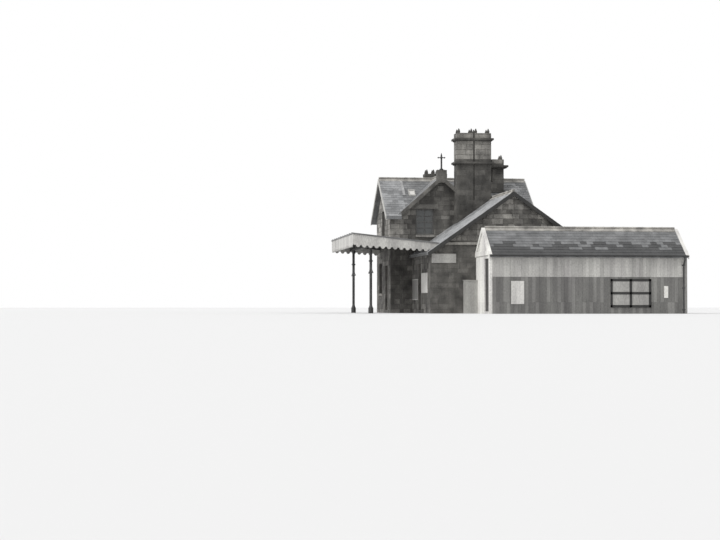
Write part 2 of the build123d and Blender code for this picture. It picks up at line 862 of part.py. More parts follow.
def canopy_roof():
    """The deck, over the fascia and back to the wing's slope and the house's wall."""
    y0, y1 = canopy_y0 - fascia_thickness - deck_lip, canopy_y1 + fascia_thickness + deck_lip
    wide = canopy_layer(deck_thickness, 0, -deck_lip, wing_mid, y0, house_y0)
    wide -= under_wing_slates
    return wide + canopy_layer(deck_thickness, 0, -deck_lip, house_x0, house_y0, y1)


def canopy_rafters():
    """Rafters from the walls out to the fascia, evenly spaced."""
    spacing = (canopy_length - rafter_width) / (rafter_count - 1)
    rafters = []
    for number in range(rafter_count):
        y0 = canopy_y0 + number * spacing
        back = wing_mid if y0 + rafter_width <= house_y0 else house_x0
        rafter = canopy_layer(deck_thickness + rafter_depth, deck_thickness, fascia_thickness,
                              back, y0, y0 + rafter_width)
        rafters.append(rafter - under_wing_slates)
    return rafters


def canopy_beam():
    """The long beam on the columns, its top cut to the rafters' slope."""
    x0, x1 = column_inset - beam_width / 2, column_inset + beam_width / 2
    drop = deck_thickness + rafter_depth
    bottom = deck_top(column_inset) - drop - beam_depth
    outline = [(x0, bottom), (x1, bottom), (x1, deck_top(x1) - drop), (x0, deck_top(x0) - drop)]
    return prism_along_y(outline, canopy_y0, canopy_y1)


beam_bottom = deck_top(column_inset) - deck_thickness - rafter_depth - beam_depth


def canopy_fascia():
    """Boards under the deck's three open edges, the end ones raked to follow the roof."""
    outer_y0, outer_y1 = canopy_y0 - fascia_thickness, canopy_y1 + fascia_thickness
    front = [(0, fascia_bottom), (fascia_thickness, fascia_bottom),
             (fascia_thickness, deck_top(fascia_thickness) - deck_thickness),
             (0, deck_top(0) - deck_thickness)]
    fascia = prism_along_y(front, outer_y0, outer_y1)
    for y0, back in ((outer_y0, wing_mid), (canopy_y1, house_x0)):
        start = fascia_thickness
        outline = [(start, fascia_bottom - start * fascia_bottom_slope),
                   (back, fascia_bottom - back * fascia_bottom_slope),
                   (back, deck_top(back) - deck_thickness),
                   (start, deck_top(start) - deck_thickness)]
        fascia += prism_along_y(outline, y0, y0 + fascia_thickness)
    return fascia - under_wing_slates


def valance_strip(length):
    """A strip with round tongues along its lower edge, drawn along +X from the origin."""
    count = int(length // scallop_pitch)
    strip = Pos(length / 2, -valance_drop / 2) * Rectangle(length, valance_drop)
    start = (length - count * scallop_pitch) / 2 + scallop_pitch / 2
    for number in range(count):
        strip += Pos(start + number * scallop_pitch, -valance_drop) * \
            RegularPolygon(scallop_radius, scallop_sides)
    return strip & Pos(length / 2, -valance_drop - scallop_radius / 2) * \
        Rectangle(length, 2 * valance_drop + scallop_radius)


def canopy_valance():
    """Scalloped boards that hang under the fascia."""
    front_length = canopy_length + 2 * fascia_thickness
    front_face = Plane(origin=(0, canopy_y0 - fascia_thickness, fascia_bottom),
                       x_dir=(0, 1, 0), z_dir=(1, 0, 0)) * valance_strip(front_length)
    valance = extrude(front_face, amount=valance_thickness, dir=(1, 0, 0))
    slope = fascia_bottom_slope
    for y0, back, way in ((canopy_y0 - fascia_thickness, wing_x0 + scallop_pitch, 1),
                          (canopy_y1 + fascia_thickness, house_x0, -1)):
        length = (back - fascia_thickness) * sqrt(1 + slope * slope)
        start = fascia_thickness
        face = Plane(origin=(start, y0, fascia_bottom - start * slope),
                     x_dir=(1, 0, -slope), z_dir=(0, -1, 0)) * valance_strip(length)
        valance += extrude(face, amount=valance_thickness, dir=(0, way, 0))
    return valance - under_wing_slates


def canopy_column_at(y):
    """A cast column with an octagonal foot, a collar and a spreading head."""
    x = column_inset
    foot = extrude(Pos(x, y) * RegularPolygon(column_foot_radius, iron_sides),
                   amount=column_foot_height)
    taper = Pos(x, y, column_foot_height + column_taper_height / 2) * \
        Cone(column_taper_radius, column_radius, column_taper_height)
    shaft_height = beam_bottom - column_foot_height
    shaft = Pos(x, y, column_foot_height + shaft_height / 2) * Cylinder(column_radius, shaft_height)
    collar = Pos(x, y, column_collar_height) * \
        Cylinder(column_collar_radius, column_collar_thickness)
    head = Pos(x, y, beam_bottom - column_head_height / 2) * \
        Cone(column_radius, column_head_radius, column_head_height)
    return foot + taper + shaft + collar + head


def curved_bracket(x, y, dx, dy):
    """A quarter-round bracket from the column out to what it carries."""
    reach = bracket_reach
    top = beam_bottom
    ring = Circle(reach) - Circle(reach - bracket_width)
    ring &= Pos(-reach / 2, reach / 2) * Rectangle(reach, reach)
    plane = Plane(origin=(x + dx * (reach + column_radius), y + dy * (reach + column_radius),
                          top - reach),
                  x_dir=(dx, dy, 0), z_dir=(-dy, dx, 0))
    arch = extrude(plane * ring, amount=bracket_thickness / 2, both=True)
    return arch


def canopy_brackets():
    """Two arched brackets at each column, under the beam."""
    brackets = []
    for y in column_places:
        column = canopy_column_at(y)
        for way in (-1, 1):
            brackets.append(curved_bracket(column_inset, y, 0, way) - column)
    return brackets


column_places = (canopy_y0 + column_near, canopy_y0 + column_far)


# Small things on the walls
def low_store():
    """A locker with a lapped lid in the corner of the end block and the wing."""
    x1 = shed_x0
    x0, y1 = x1 - store_width, wing_y0
    y0 = y1 - store_depth
    box = block(x0, x1, y0, y1, 0, store_height)
    lid = block(x0 - store_lid_lip, x1, y0 - store_lid_lip, y1, store_height,
                store_height + store_lid)
    return box + lid


def name_board():
    """A bare board on the wing's gable beside its corner, with a raised rim."""
    x0 = wing_x0 + name_board_from_corner
    x1 = x0 + name_board_length
    y1 = wing_y0
    y0 = y1 - board_thickness
    board = block(x0, x1, y0, y1, name_board_level, name_board_level + name_board_height)
    rim = name_board_rim
    field = block(x0 + rim, x1 - rim, y0, y0 + name_board_recess, name_board_level + rim,
                  name_board_level + name_board_height - rim)
    return board - field


def framed_board(x0, width, level, height, y1, parts=1):
    """A board against a wall whose bare fields are sunk inside a rim."""
    y0 = y1 - board_thickness
    board = block(x0, x0 + width, y0, y1, level, level + height)
    field_width = (width - double_board_frame * (parts + 1)) / parts
    for number in range(parts):
        a = x0 + double_board_frame + number * (field_width + double_board_frame)
        board -= block(a, a + field_width, y0, y0 + double_board_recess,
                       level + double_board_frame, level + height - double_board_frame)
    return board


def plain_board(x0, width, level, height, y1):
    """A thin bare board flat against a wall."""
    return block(x0, x0 + width, y1 - board_thickness, y1, level, level + height)


def platform_board(offset, length, level, height):
    """A thin bare board flat against the wing's platform wall."""
    return block(wing_x0 - board_thickness, wing_x0, wing_y0 + offset,
                 wing_y0 + offset + length, level, level + height)


def notice_boards():
    """The bare boards on the end block's front and on the wing's platform wall."""
    return [
        plain_board(shed_x0 + poster_offset, poster_width, poster_level, poster_height, 0),
        framed_board(shed_x1 - double_board_from_end, double_board_width, double_board_level,
                     double_board_height, 0, parts=2),
        plain_board(shed_x1 - small_board_from_end, small_board_width, small_board_level,
                    small_board_height, 0),
        platform_board(near_wall_board_offset, near_wall_board_length, near_wall_board_level,
                       near_wall_board_height),
        platform_board(far_wall_board_offset, far_wall_board_length, far_wall_board_level,
                       far_wall_board_height),
    ]


def gutter_profile(y, z, side):
    """A half-round channel whose back touches the slates' edge."""
    centre = y + side * gutter_radius
    ring = Circle(gutter_radius) - Circle(gutter_radius - gutter_wall)
    ring &= Pos(0, -gutter_radius) * Rectangle(2 * gutter_radius, 2 * gutter_radius)
    return centre, z, ring


def gutter_along_x(x0, x1, y, z, side):
    """A gutter along X beside an eaves edge at y."""
    centre, level, ring = gutter_profile(y, z, side)
    plane = Plane(origin=(x0, centre, level), x_dir=(0, 1, 0), z_dir=(1, 0, 0))
    return extrude(plane * ring, amount=x1 - x0, dir=(1, 0, 0))


def gutter_along_y(y0, y1, x, z, side):
    """A gutter along Y beside an eaves edge at x."""
    centre, level, ring = gutter_profile(x, z, side)
    plane = Plane(origin=(centre, y0, level), x_dir=(1, 0, 0), z_dir=(0, -1, 0))
    return extrude(plane * ring, amount=y1 - y0, dir=(0, 1, 0))


def eaves_edge(half_span, overhang, ridge, pitch, layer):
    """Where the top of the slates ends: distance from the ridge, and height."""
    run = half_span + overhang
    return run, ridge + layer - run * pitch


def gutters():
    """Half-round gutters under the eaves that drain to the pipes."""
    run, z = eaves_edge(shed_depth / 2, shed_eaves_overhang, shed_ridge_under, shed_pitch,
                        shed_layer)
    shed_front = gutter_along_x(shed_x0 - shed_verge_overhang, shed_x1 + shed_verge_overhang,
                                shed_mid - run, z, -1)
    run, z = eaves_edge(house_depth / 2, house_eaves_overhang, house_ridge_under, house_pitch,
                        house_layer)
    house_far = gutter_along_x(house_x0 - house_verge_overhang, house_x1 + house_verge_overhang,
                               house_mid + run, z, 1)
    run, z = eaves_edge(wing_width / 2, wing_eaves_overhang, wing_ridge_under, wing_pitch,
                        wing_layer)
    wing_back = gutter_along_y(wing_y0, house_y0 + wing_toothing, wing_mid + run, z, 1)
    return [shed_front, house_far, wing_back]


def wing_gable_wall():
    """The wing's near end, up to the underside of its roof."""
    outline = tent_outline(wing_mid, wing_width / 2, wing_ridge_under, wing_pitch, 0)
    return prism_along_y(outline, wing_y0, wing_y0 + stone_wall)


def wing_side_wall(outer, inner, y1, openings):
    """A side wall of the wing, its top cut to the slope of the roof."""
    rise = stone_wall * wing_pitch
    outline = [(outer, 0), (inner, 0), (inner, wing_eaves + rise), (outer, wing_eaves)]
    return cut_openings(prism_along_y(outline, wing_y0 + stone_wall, y1), openings)


def wing_back_wall():
    """The wing's back wall, with a return to the house's back corner."""
    wall = wing_side_wall(wing_x1, wing_x1 - stone_wall, house_y0 + wing_toothing,
                          [wing_windows["back"], wing_windows["back_second"], wing_back_door])
    inner = wing_x1 - stone_wall
    outline = [(house_x1, 0), (inner, 0), (inner, wing_eaves + stone_wall * wing_pitch),
               (house_x1, wing_eaves + (wing_x1 - house_x1) * wing_pitch)]
    return wall + prism_along_y(outline, house_y0, house_y0 + wing_toothing)


def shed_end_wall(x0, openings):
    """A gabled end of the end block."""
    outline = tent_outline(shed_mid, shed_depth / 2, shed_ridge_under, shed_pitch, 0)
    return cut_openings(prism_along_x(outline, x0, x0 + timber_wall), openings)


def shed_long_wall(outer, inner):
    """The front or back wall of the end block."""
    return eaves_wall(outer, inner, shed_eaves, shed_pitch, shed_x0 + timber_wall,
                      shed_x1 - timber_wall)


def all_frames(windows):
    """Window frames, one solid each."""
    return [opening.frame() for opening in windows.values()]


def all_sills():
    """A stone sill under every window."""
    windows = list(house_windows.values()) + list(wing_windows.values())
    return [opening.sill_stone() for opening in windows]


def all_glass():
    """Every pane of the house and the wing, with the roof light's."""
    panes = []
    for opening in list(house_windows.values()) + list(wing_windows.values()):
        panes += opening.glass()
    return panes + [roof_light_pane()]


def string_course():
    """A pale course across the wing's gable, cut to the slope of its roof."""
    y0 = wing_y0 - string_course_projection
    course = block(wing_x0, wing_x1, y0, wing_y0, string_course_level,
                   string_course_level + string_course_height)
    gable = tent_outline(wing_mid, wing_width / 2, wing_ridge_under, wing_pitch, 0)
    return course & prism_along_y(gable, y0, wing_y0)


def shed_door():
    """The end block's boarded door, flush in its opening."""
    return shed_door_opening.slab(0, timber_wall / 3, timber_wall / 3 + door_leaf)


def downpipes():
    """Pipes from the gutters to the ground, at the corners."""
    run, z = eaves_edge(shed_depth / 2, shed_eaves_overhang, shed_ridge_under, shed_pitch,
                        shed_layer)
    outlet = (shed_mid - run - gutter_radius, z - gutter_radius)
    neck = outlet[1] - swan_neck_drop
    path = FilletPolyline((0, outlet[0], outlet[1]), (0, outlet[0], outlet[1] - swan_neck_start),
                          (0, -pipe_radius, neck), (0, -pipe_radius, 0), radius=pipe_bend_radius)
    start = Plane(origin=(0, outlet[0], outlet[1]), z_dir=(0, 0, -1))
    shed_pipe = sweep(start * Circle(pipe_radius), path=path)
    return [Pos(shed_x1 - pipe_corner_gap, 0, 0) * shed_pipe]


def right_stack():
    """The stack on the near slope, with a plinth that dies into the slates."""
    stack = chimney_stack(right_x, right_stack_width, right_y, right_stack_depth,
                          right_stack_top, right_stack_band_drops, house_ridge_under,
                          projection=right_stack_band_projection, inner_pinnacles=False)
    out = plinth_projection
    foot = slates_top(right_y) + right_stack_plinth_lift
    plinth = block(right_x - out, right_x + right_stack_width + out, right_y - out,
                   right_y + right_stack_depth, foot, foot + band_height)
    below_main = tent_outline(house_mid, house_depth / 2, house_ridge_under + house_layer,
                              house_pitch, 0)
    return stack + (plinth - prism_along_x(below_main, house_x0, house_x1))


parts = {
    "house_near_wall": house_near_wall(),
    "house_far_wall": house_far_wall(),
    "house_platform_wall": house_gable_wall(house_x0, [house_windows["platform_ground"],
                                                       house_windows["platform_upper"],
                                                       house_door]),
    "house_back_wall": house_gable_wall(house_x1 - stone_wall, [house_windows["back_ground"],
                                                                house_windows["back_upper"]]),
    "house_ground_floor": block(house_x0 + stone_wall, house_x1 - stone_wall,
                                house_y0 + stone_wall, house_y1 - stone_wall, 0, floor_slab),
    "house_upper_floor": block(house_x0 + stone_wall, house_x1 - stone_wall,
                               house_y0 + stone_wall, house_y1 - stone_wall,
                               upper_floor_top - upper_floor_thickness, upper_floor_top)
    - right_hole - left_hole,
    "house_near_roof": house_near_roof(),
    "house_far_roof": house_far_roof(),
    "cross_gable_roof": cross_gable_roof(),
    "house_ridge_tiles": house_ridge_tiles(),
    "house_bargeboards": house_bargeboards(),
    "cross_gable_coping": cross_gable_coping(),
    "gable_finial": gable_finial(),
    "roof_light": roof_light(),
    "tall_stack": chimney_stack(tall_x, tall_stack_width, tall_y, tall_stack_depth,
                                tall_stack_top, tall_stack_band_drops, wing_ridge_under,
                                wall_behind=True),
    "right_stack": right_stack(),
    "left_stack": chimney_stack(left_x, left_stack_width, left_y, left_stack_depth,
                                left_stack_top, left_stack_band_drops, house_ridge_under),
    "wing_gable_wall": wing_gable_wall(),
    "wing_platform_wall": wing_side_wall(wing_x0, wing_x0 + stone_wall, house_y0,
                                         [wing_platform_door]),
    "wing_back_wall": wing_back_wall(),
    "wing_floor": block(wing_x0 + stone_wall, wing_x1 - stone_wall, wing_y0 + stone_wall,
                        house_y0, 0, floor_slab),
    "wing_platform_roof": wing_slope(near),
    "wing_back_roof": wing_slope(far),
    "wing_ridge_tiles": wing_ridge_tiles(),
    "wing_bargeboards": wing_bargeboards(),
    "wing_string_course": string_course(),
    "house_windows": all_frames(house_windows),
    "wing_windows": all_frames(wing_windows),
    "window_sills": all_sills(),
    "window_glass": all_glass(),
    "door_frames": [opening.door_frame() for opening in
                    (house_door, wing_platform_door, wing_back_door)],
    "panelled_doors": [house_door.door(1), wing_platform_door.door(1), wing_back_door.door(2)],
    "canopy_roof": canopy_roof(),
    "canopy_rafters": canopy_rafters(),
    "canopy_beam": canopy_beam(),
    "canopy_fascia": canopy_fascia(),
    "canopy_valance": canopy_valance(),
    "canopy_columns": [canopy_column_at(y) for y in column_places],
    "canopy_brackets": canopy_brackets(),
    "shed_front_wall": shed_long_wall(0, timber_wall),
    "shed_back_wall": shed_long_wall(shed_depth, shed_depth - timber_wall),
    "shed_platform_end": shed_end_wall(shed_x0, [shed_door_opening]),
    "shed_far_end": shed_end_wall(shed_x1 - timber_wall, []),
    "shed_floor": block(shed_x0 + timber_wall, shed_x1 - timber_wall, timber_wall,
                        shed_depth - timber_wall, 0, shed_floor_slab),
    "shed_front_roof": shed_slope(near),
    "shed_back_roof": shed_slope(far),
    "shed_ridge_tiles": shed_ridge_tiles(),
    "shed_bargeboards": shed_bargeboards(),
    "shed_door": shed_door(),
    "name_board": name_board(),
    "notice_boards": notice_boards(),
    "low_store": low_store(),
    "gutters": gutters(),
    "downpipes": downpipes(),
}


def gathered(shape):
    """A node's solids as one shape."""
    if isinstance(shape, list):
        return Compound(children=[solid for piece in shape for solid in piece.solids()])
    return shape


whole = Compound(children=[gathered(shape) for shape in parts.values()]).bounding_box()
to_middle = Location((-whole.center().X, -whole.center().Y, 0))

for name, shape in parts.items():
    moved = Compound(children=[to_middle * solid for solid in gathered(shape).solids()])
    export_step(moved, f"parts/{name}.step")

print("size", whole.size, "shift", to_middle.position)
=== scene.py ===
"""The station building's looks: stone, slate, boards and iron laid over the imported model.

Metres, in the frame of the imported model: X runs from the building's front to its back, Y runs
from the end block to the house, and Z is up from the foot of the walls. Stones, slates and
boards are cut from a copy of the flat side that they cover, so that they keep its outline and
its openings.
"""
import bpy
import bmesh
import json
from bisect import bisect_right
from math import ceil, floor, radians
from random import Random
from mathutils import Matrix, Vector


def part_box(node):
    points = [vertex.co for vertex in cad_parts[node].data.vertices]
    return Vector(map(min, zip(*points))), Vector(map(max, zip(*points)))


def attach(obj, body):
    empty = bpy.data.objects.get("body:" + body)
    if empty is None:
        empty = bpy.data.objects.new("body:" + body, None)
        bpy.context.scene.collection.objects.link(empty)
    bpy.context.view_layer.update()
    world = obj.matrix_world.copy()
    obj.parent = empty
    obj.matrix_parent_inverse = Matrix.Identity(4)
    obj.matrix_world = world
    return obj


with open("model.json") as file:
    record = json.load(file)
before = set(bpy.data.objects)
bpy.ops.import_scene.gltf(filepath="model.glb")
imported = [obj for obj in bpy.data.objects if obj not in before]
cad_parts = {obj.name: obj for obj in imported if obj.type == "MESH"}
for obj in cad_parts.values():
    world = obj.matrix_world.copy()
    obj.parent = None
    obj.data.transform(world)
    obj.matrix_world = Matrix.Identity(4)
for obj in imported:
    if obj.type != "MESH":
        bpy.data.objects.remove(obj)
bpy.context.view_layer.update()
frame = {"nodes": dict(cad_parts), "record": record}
nodes = frame["nodes"]

# Camera, where the photograph was taken from
eye = (-15.995, -72.325, 0.35)
camera_turn = -7.5            # degrees, towards the building
camera_tilt = 1.31            # degrees, upwards
lens = 78.0
sensor_width = 36.0
farthest_seen = 400.0

# Light
sky_strength = 0.85
sun_strength = 2.0
sun_angle = 25.0              # degrees across, so that shadows are soft
sun_turn = (50.0, 0.0, -70.0)  # degrees
floor_size = 400.0
floor_grey = 0.70
floor_roughness = 0.9

# Directions: the canopy is at the front, and the end block is near
up = Vector((0, 0, 1))
to_front = Vector((-1, 0, 0))
to_back = Vector((1, 0, 0))
to_near = Vector((0, -1, 0))
to_far = Vector((0, 1, 0))

# How flat sides are recognised
merge_gap = 0.0001                         # points nearer than this are one point
same_way = 0.999                           # least cosine between two equal directions
same_plane = 0.002                         # faces nearer than this lie in one plane
same_side = 0.02                           # and nearer than this on one side of a wall
least_slope = 0.3                          # least part of a slope's normal along up or a side
flat_turn = radians(1)                     # faces that turn less than this are one face

# Stonework
course_low, course_high = 0.19, 0.28       # heights of the courses
stone_short, stone_long = 0.24, 0.52       # lengths of the stones
bond_patterns = 4                          # courses that differ before the bond repeats
wall_back = 0.004                          # thickness of the bedding behind the stones
wall_joint = 0.006                         # half a joint
wall_arris = 0.009                         # how far a stone's face is set in from its edge
stone_heights = (0.005, 0.009, 0.014, 0.011)    # by finish, from dark to pale

painted_light_corner_x = -3.94                  # painted light: the house's walls are painted paler in front of this, as lit from the track side
painted_light_corner_z = 3.2                    # and above this
palest_gable_z = 4.70                    # and the wing's gable is palest above this
soot_drop = 1.47                           # from the tall stack's top to its lower band

# Slates
slate_gauge = 0.20                         # what shows of a slate, up the slope
slate_width = 0.29
slate_back = 0.003
slate_gap = 0.0025                         # half a joint
slate_heights = (0.009, 0.010, 0.011)      # by finish
lap_shifts = (0.5, 1.0)                    # joints of one course and the next, in widths
head_sunk = 0.9                            # of the lowest height, under the next course
damp_share = 0.46                          # of the end block's slopes, up from the foot
damp_spread = (0.4, 1.2)                   # how raggedly the damp slates end
sheen_verge_y = -0.6                      # painted sheen: the wing's front slope is painted brightest nearer than this

# Small pieces
frame_face = 0.07                          # width of a window frame, seen from outside
glazing_bar = 0.028
glazing_bar_depth = 0.024
glazing_bar_out = 0.022                    # in front of the middle of the frame
reveal = 0.11                              # from the wall's face back to the frame
lintel_height = 0.22
lintel_bearing = 0.20                      # past the opening on either side
lintel_proud = 0.022
lintel_sunk = 0.02
ridge_roll = 0.045                         # radius of the roll on the ridge tiles
collar_proud = 0.010
collar_length = 0.035
collar_spacing = 0.45                      # the length of a ridge tile
collar_sides = 16

strip_x = -4.02                            # the lead strip's front edge
strip_width = 0.13
strip_length = 1.15
strip_thick = 0.022
pane_back = 0.004
pane_edge = 0.012
pane_proud = 0.004

strap_levels = (0.15, 1.1, 2.1)            # the downpipe's straps
strap_back = 0.225                         # from the front of the pipe's bend to the strap
strap_sunk = 0.001
strap_thick = 0.018
strap_height = 0.05
ear_reach = 0.035
bracket_step = 0.85
bracket_width = 0.03
bracket_drop = 0.012
bracket_inset = 0.002

panel_shares = ((0.12, 0.42), (0.50, 0.94))    # of a door's height, lower and upper panel
moulding = 0.022
moulding_margin = 0.11
frame_bar = 0.11                           # the double board's frame
frame_proud = 0.016
field_edge = 0.035                         # the plain edge round a board's field
field_proud = 0.004

roll_step = 0.85                           # between the rolls of the canopy's deck
roll_width = 0.05
roll_height = 0.024

# Boards
board_width = 0.16
board_back = 0.003
board_gap = 0.004                          # half a joint
board_heights = (0.008, 0.010, 0.009, 0.010)    # by finish
side_levels = (0.5, 1.6)                   # level joints on the end block's front and far end
end_levels = (0.5,)                        # and on its pale end

# Finishes: where along the noise they change, and by how much
patch_detail = 6
patch_places = (0.32, 0.68)
grain_detail = 8
grain_places = (0.3, 0.62)
grain_shade = 0.55
grain_amount = 0.8
streak_size = 0.35
streak_detail = 4
streak_stretch = (1, 1, 0.12)
streak_places = (0.35, 0.6)
streak_shade = 0.4
gloss_places = (0.3, 0.7)
duller = 0.12
glossier = 0.1

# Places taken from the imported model
string_course_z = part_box("wing_string_course")[1][2]
stacks_end_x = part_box("right_stack")[1][0]
soot_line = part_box("tall_stack")[1][2] - soot_drop


# Picking and cutting in edit mode
def open_piece(piece):
    """Open one piece, and nothing else, in edit mode."""
    bpy.ops.object.select_all(action="DESELECT")
    piece.select_set(True)
    bpy.context.view_layer.objects.active = piece
    bpy.ops.object.mode_set(mode="EDIT")
    bpy.ops.mesh.select_mode(type="EDGE")


def close_piece():
    """Back to object mode."""
    bpy.ops.object.mode_set(mode="OBJECT")


def pick_faces(piece, wanted):
    """Select the faces that are wanted, and say how many there are."""
    bpy.ops.mesh.select_all(action="DESELECT")
    mesh = bmesh.from_edit_mesh(piece.data)
    picked = [face for face in mesh.faces if wanted(face)]
    for face in picked:
        face.select_set(True)
    bmesh.update_edit_mesh(piece.data)
    return len(picked)


def pick_points(piece, wanted):
    """Select the points that are wanted."""
    bpy.ops.mesh.select_all(action="DESELECT")
    mesh = bmesh.from_edit_mesh(piece.data)
    for point in mesh.verts:
        if wanted(point.co):
            point.select_set(True)
    bmesh.update_edit_mesh(piece.data)


def lies_at(face, outward, place, slack=same_plane / 2):
    """Whether a face looks one way and lies at one place along it."""
    return (face.normal.dot(outward) > same_way
            and abs(face.calc_center_median().dot(outward) - place) < slack)


def flat_side(node, name, faces_that_way):
    """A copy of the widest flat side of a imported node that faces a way, open in edit mode."""
    piece = bpy.data.objects.new(name, nodes[node].data.copy())
    bpy.context.collection.objects.link(piece)
    piece.data.materials.clear()
    open_piece(piece)
    bpy.ops.mesh.select_all(action="SELECT")
    bpy.ops.mesh.remove_doubles(threshold=merge_gap)
    areas = {}
    for face in bmesh.from_edit_mesh(piece.data).faces:
        if faces_that_way(face.normal):
            way = Vector(face.normal)
            key = (round(way.x, 2), round(way.y, 2), round(way.z, 2),
                   round(face.calc_center_median().dot(way), 2))
            area, _ = areas.get(key, (0, way))
            areas[key] = (area + face.calc_area(), way)
    widest = max(areas, key=lambda key: areas[key][0])
    outward = areas[widest][1]
    place = max(face.calc_center_median().dot(outward)
                for face in bmesh.from_edit_mesh(piece.data).faces
                if lies_at(face, outward, widest[3], same_side))
    bpy.ops.mesh.select_mode(type="FACE")
    pick_faces(piece, lambda face: lies_at(face, outward, place, same_plane))
    bpy.ops.mesh.select_all(action="INVERT")
    bpy.ops.mesh.delete(type="FACE")
    bpy.ops.mesh.select_mode(type="EDGE")
    return piece, outward, place


def cut(piece, place, across, wanted=None):
    """Cut the wanted faces that lie across a plane, and mark the cut as a joint."""
    def crosses(face):
        sides = [point.co.dot(across) - place for point in face.verts]
        if min(sides) > -merge_gap or max(sides) < merge_gap:
            return False
        return wanted is None or wanted(face)
    if pick_faces(piece, crosses):
        bpy.ops.mesh.bisect(plane_co=across * place, plane_no=across)
        bpy.ops.mesh.mark_seam(clear=False)


def reach(piece, way):
    """How far a piece reaches along a direction: its lowest and highest place."""
    places = [point.co.dot(way) for point in bmesh.from_edit_mesh(piece.data).verts]
    return min(places), max(places)


def cut_courses(piece, levels, rise, along, joints):
    """Cut a flat side at the levels, and each course at the joints of its own pattern."""
    for level in levels:
        cut(piece, level, rise)
    for number, pattern in enumerate(joints):
        def in_pattern(face, number=number):
            course = bisect_right(levels, face.calc_center_median().dot(rise))
            return course % len(joints) == number
        for joint in pattern:
            cut(piece, joint, along, in_pattern)
    if pick_slanting(piece, rise, along):
        bpy.ops.mesh.dissolve_edges(use_verts=False)
    bpy.ops.mesh.select_all(action="SELECT")
    bpy.ops.mesh.dissolve_limited(angle_limit=flat_turn, delimit={"SEAM"})
    if pick_slanting(piece, rise, along):
        bpy.ops.mesh.dissolve_edges(use_verts=False)


def pick_slanting(piece, rise, along):
    """Select the inner edges that are neither level nor upright, which are no joints."""
    bpy.ops.mesh.select_all(action="DESELECT")
    mesh = bmesh.from_edit_mesh(piece.data)
    picked = 0
    for edge in mesh.edges:
        way = (edge.verts[1].co - edge.verts[0].co).normalized()
        if len(edge.link_faces) == 2 and max(abs(way.dot(rise)), abs(way.dot(along))) < same_way:
            edge.select_set(True)
            picked += 1
    bmesh.update_edit_mesh(piece.data)
    return picked


def thicken(piece, outward, place, back):
    """Give the cut sheet a back, so that it is a closed slab."""
    bpy.ops.mesh.select_all(action="SELECT")
    bpy.ops.mesh.extrude_region_move(TRANSFORM_OT_translate={"value": outward * back})
    pick_faces(piece, lambda face: lies_at(face, outward, place))
    bpy.ops.mesh.flip_normals()


def tint(piece, wanted, choose):
    """Give each wanted face the finish that is chosen for its place."""
    mesh = bmesh.from_edit_mesh(piece.data)
    for face in mesh.faces:
        if wanted(face):
            face.material_index = choose(face.calc_center_median())
    bmesh.update_edit_mesh(piece.data)


def raise_blocks(piece, outward, top, gap, heights):
    """Raise each block out of the slab by the height of its finish."""
    for number, height in enumerate(heights):
        def wanted(face, number=number):
            return face.material_index == number and lies_at(face, outward, top)
        if pick_faces(piece, wanted):
            bpy.ops.mesh.inset(thickness=gap, depth=height, use_individual=True,
                               use_boundary=True, use_even_offset=False)


def give_finishes(piece, finishes):
    """Give a piece its finishes and let it ride on the building."""
    for material in finishes:
        piece.data.materials.append(material)
    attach(piece, "root")
    return piece


def finish(piece, finishes):
    """Close a piece that is open in edit mode, and finish it."""
    close_piece()
    return give_finishes(piece, finishes)


def faces_along(way):
    """A test for faces that face one way."""
    return lambda normal: normal.dot(way) > same_way


def slopes_up(normal):
    """Whether a face is part of a roof slope's upper side."""
    return normal.z > least_slope


def slopes_towards(way):
    """A test for the upper side of the roof slopes that fall one way."""
    return lambda normal: slopes_up(normal) and normal.dot(way) > least_slope


# Coverings
def course_levels(low, high, seed):
    """Uneven course levels between two heights."""
    random = Random(seed)
    levels = [low + random.uniform(course_low, course_high)]
    while levels[-1] < high:
        levels.append(levels[-1] + random.uniform(course_low, course_high))
    return levels


def bond(low, high, seed):
    """Uneven joints for each of a few courses, which then repeat."""
    random = Random(seed)
    patterns = []
    for _ in range(bond_patterns):
        joints = [low + random.uniform(0, stone_long)]
        while joints[-1] < high:
            joints.append(joints[-1] + random.uniform(stone_short, stone_long))
        patterns.append(joints)
    return patterns


def stones(node, way, name, finishes, choose_tint, seed):
    """Coursed stones over one side of a wall or stack."""
    piece, outward, place = flat_side(node, name, faces_along(way))
    along = up.cross(outward)
    low, high = reach(piece, along)
    cut_courses(piece, course_levels(0, reach(piece, up)[1], "courses"), up, along,
                bond(low, high, seed))
    thicken(piece, outward, place, wall_back)
    top = place + wall_back
    mortar_number = len(stone_heights)
    tint(piece, lambda face: True, lambda centre: mortar_number)
    pick_faces(piece, lambda face: lies_at(face, outward, top))
    bpy.ops.mesh.inset(thickness=wall_joint, use_individual=True, use_boundary=True,
                       use_even_offset=False)
    random = Random(seed)
    tint(piece, lambda face: face.select, lambda centre: choose_tint(centre, random))
    raise_blocks(piece, outward, top, wall_arris, stone_heights)
    return finish(piece, finishes)


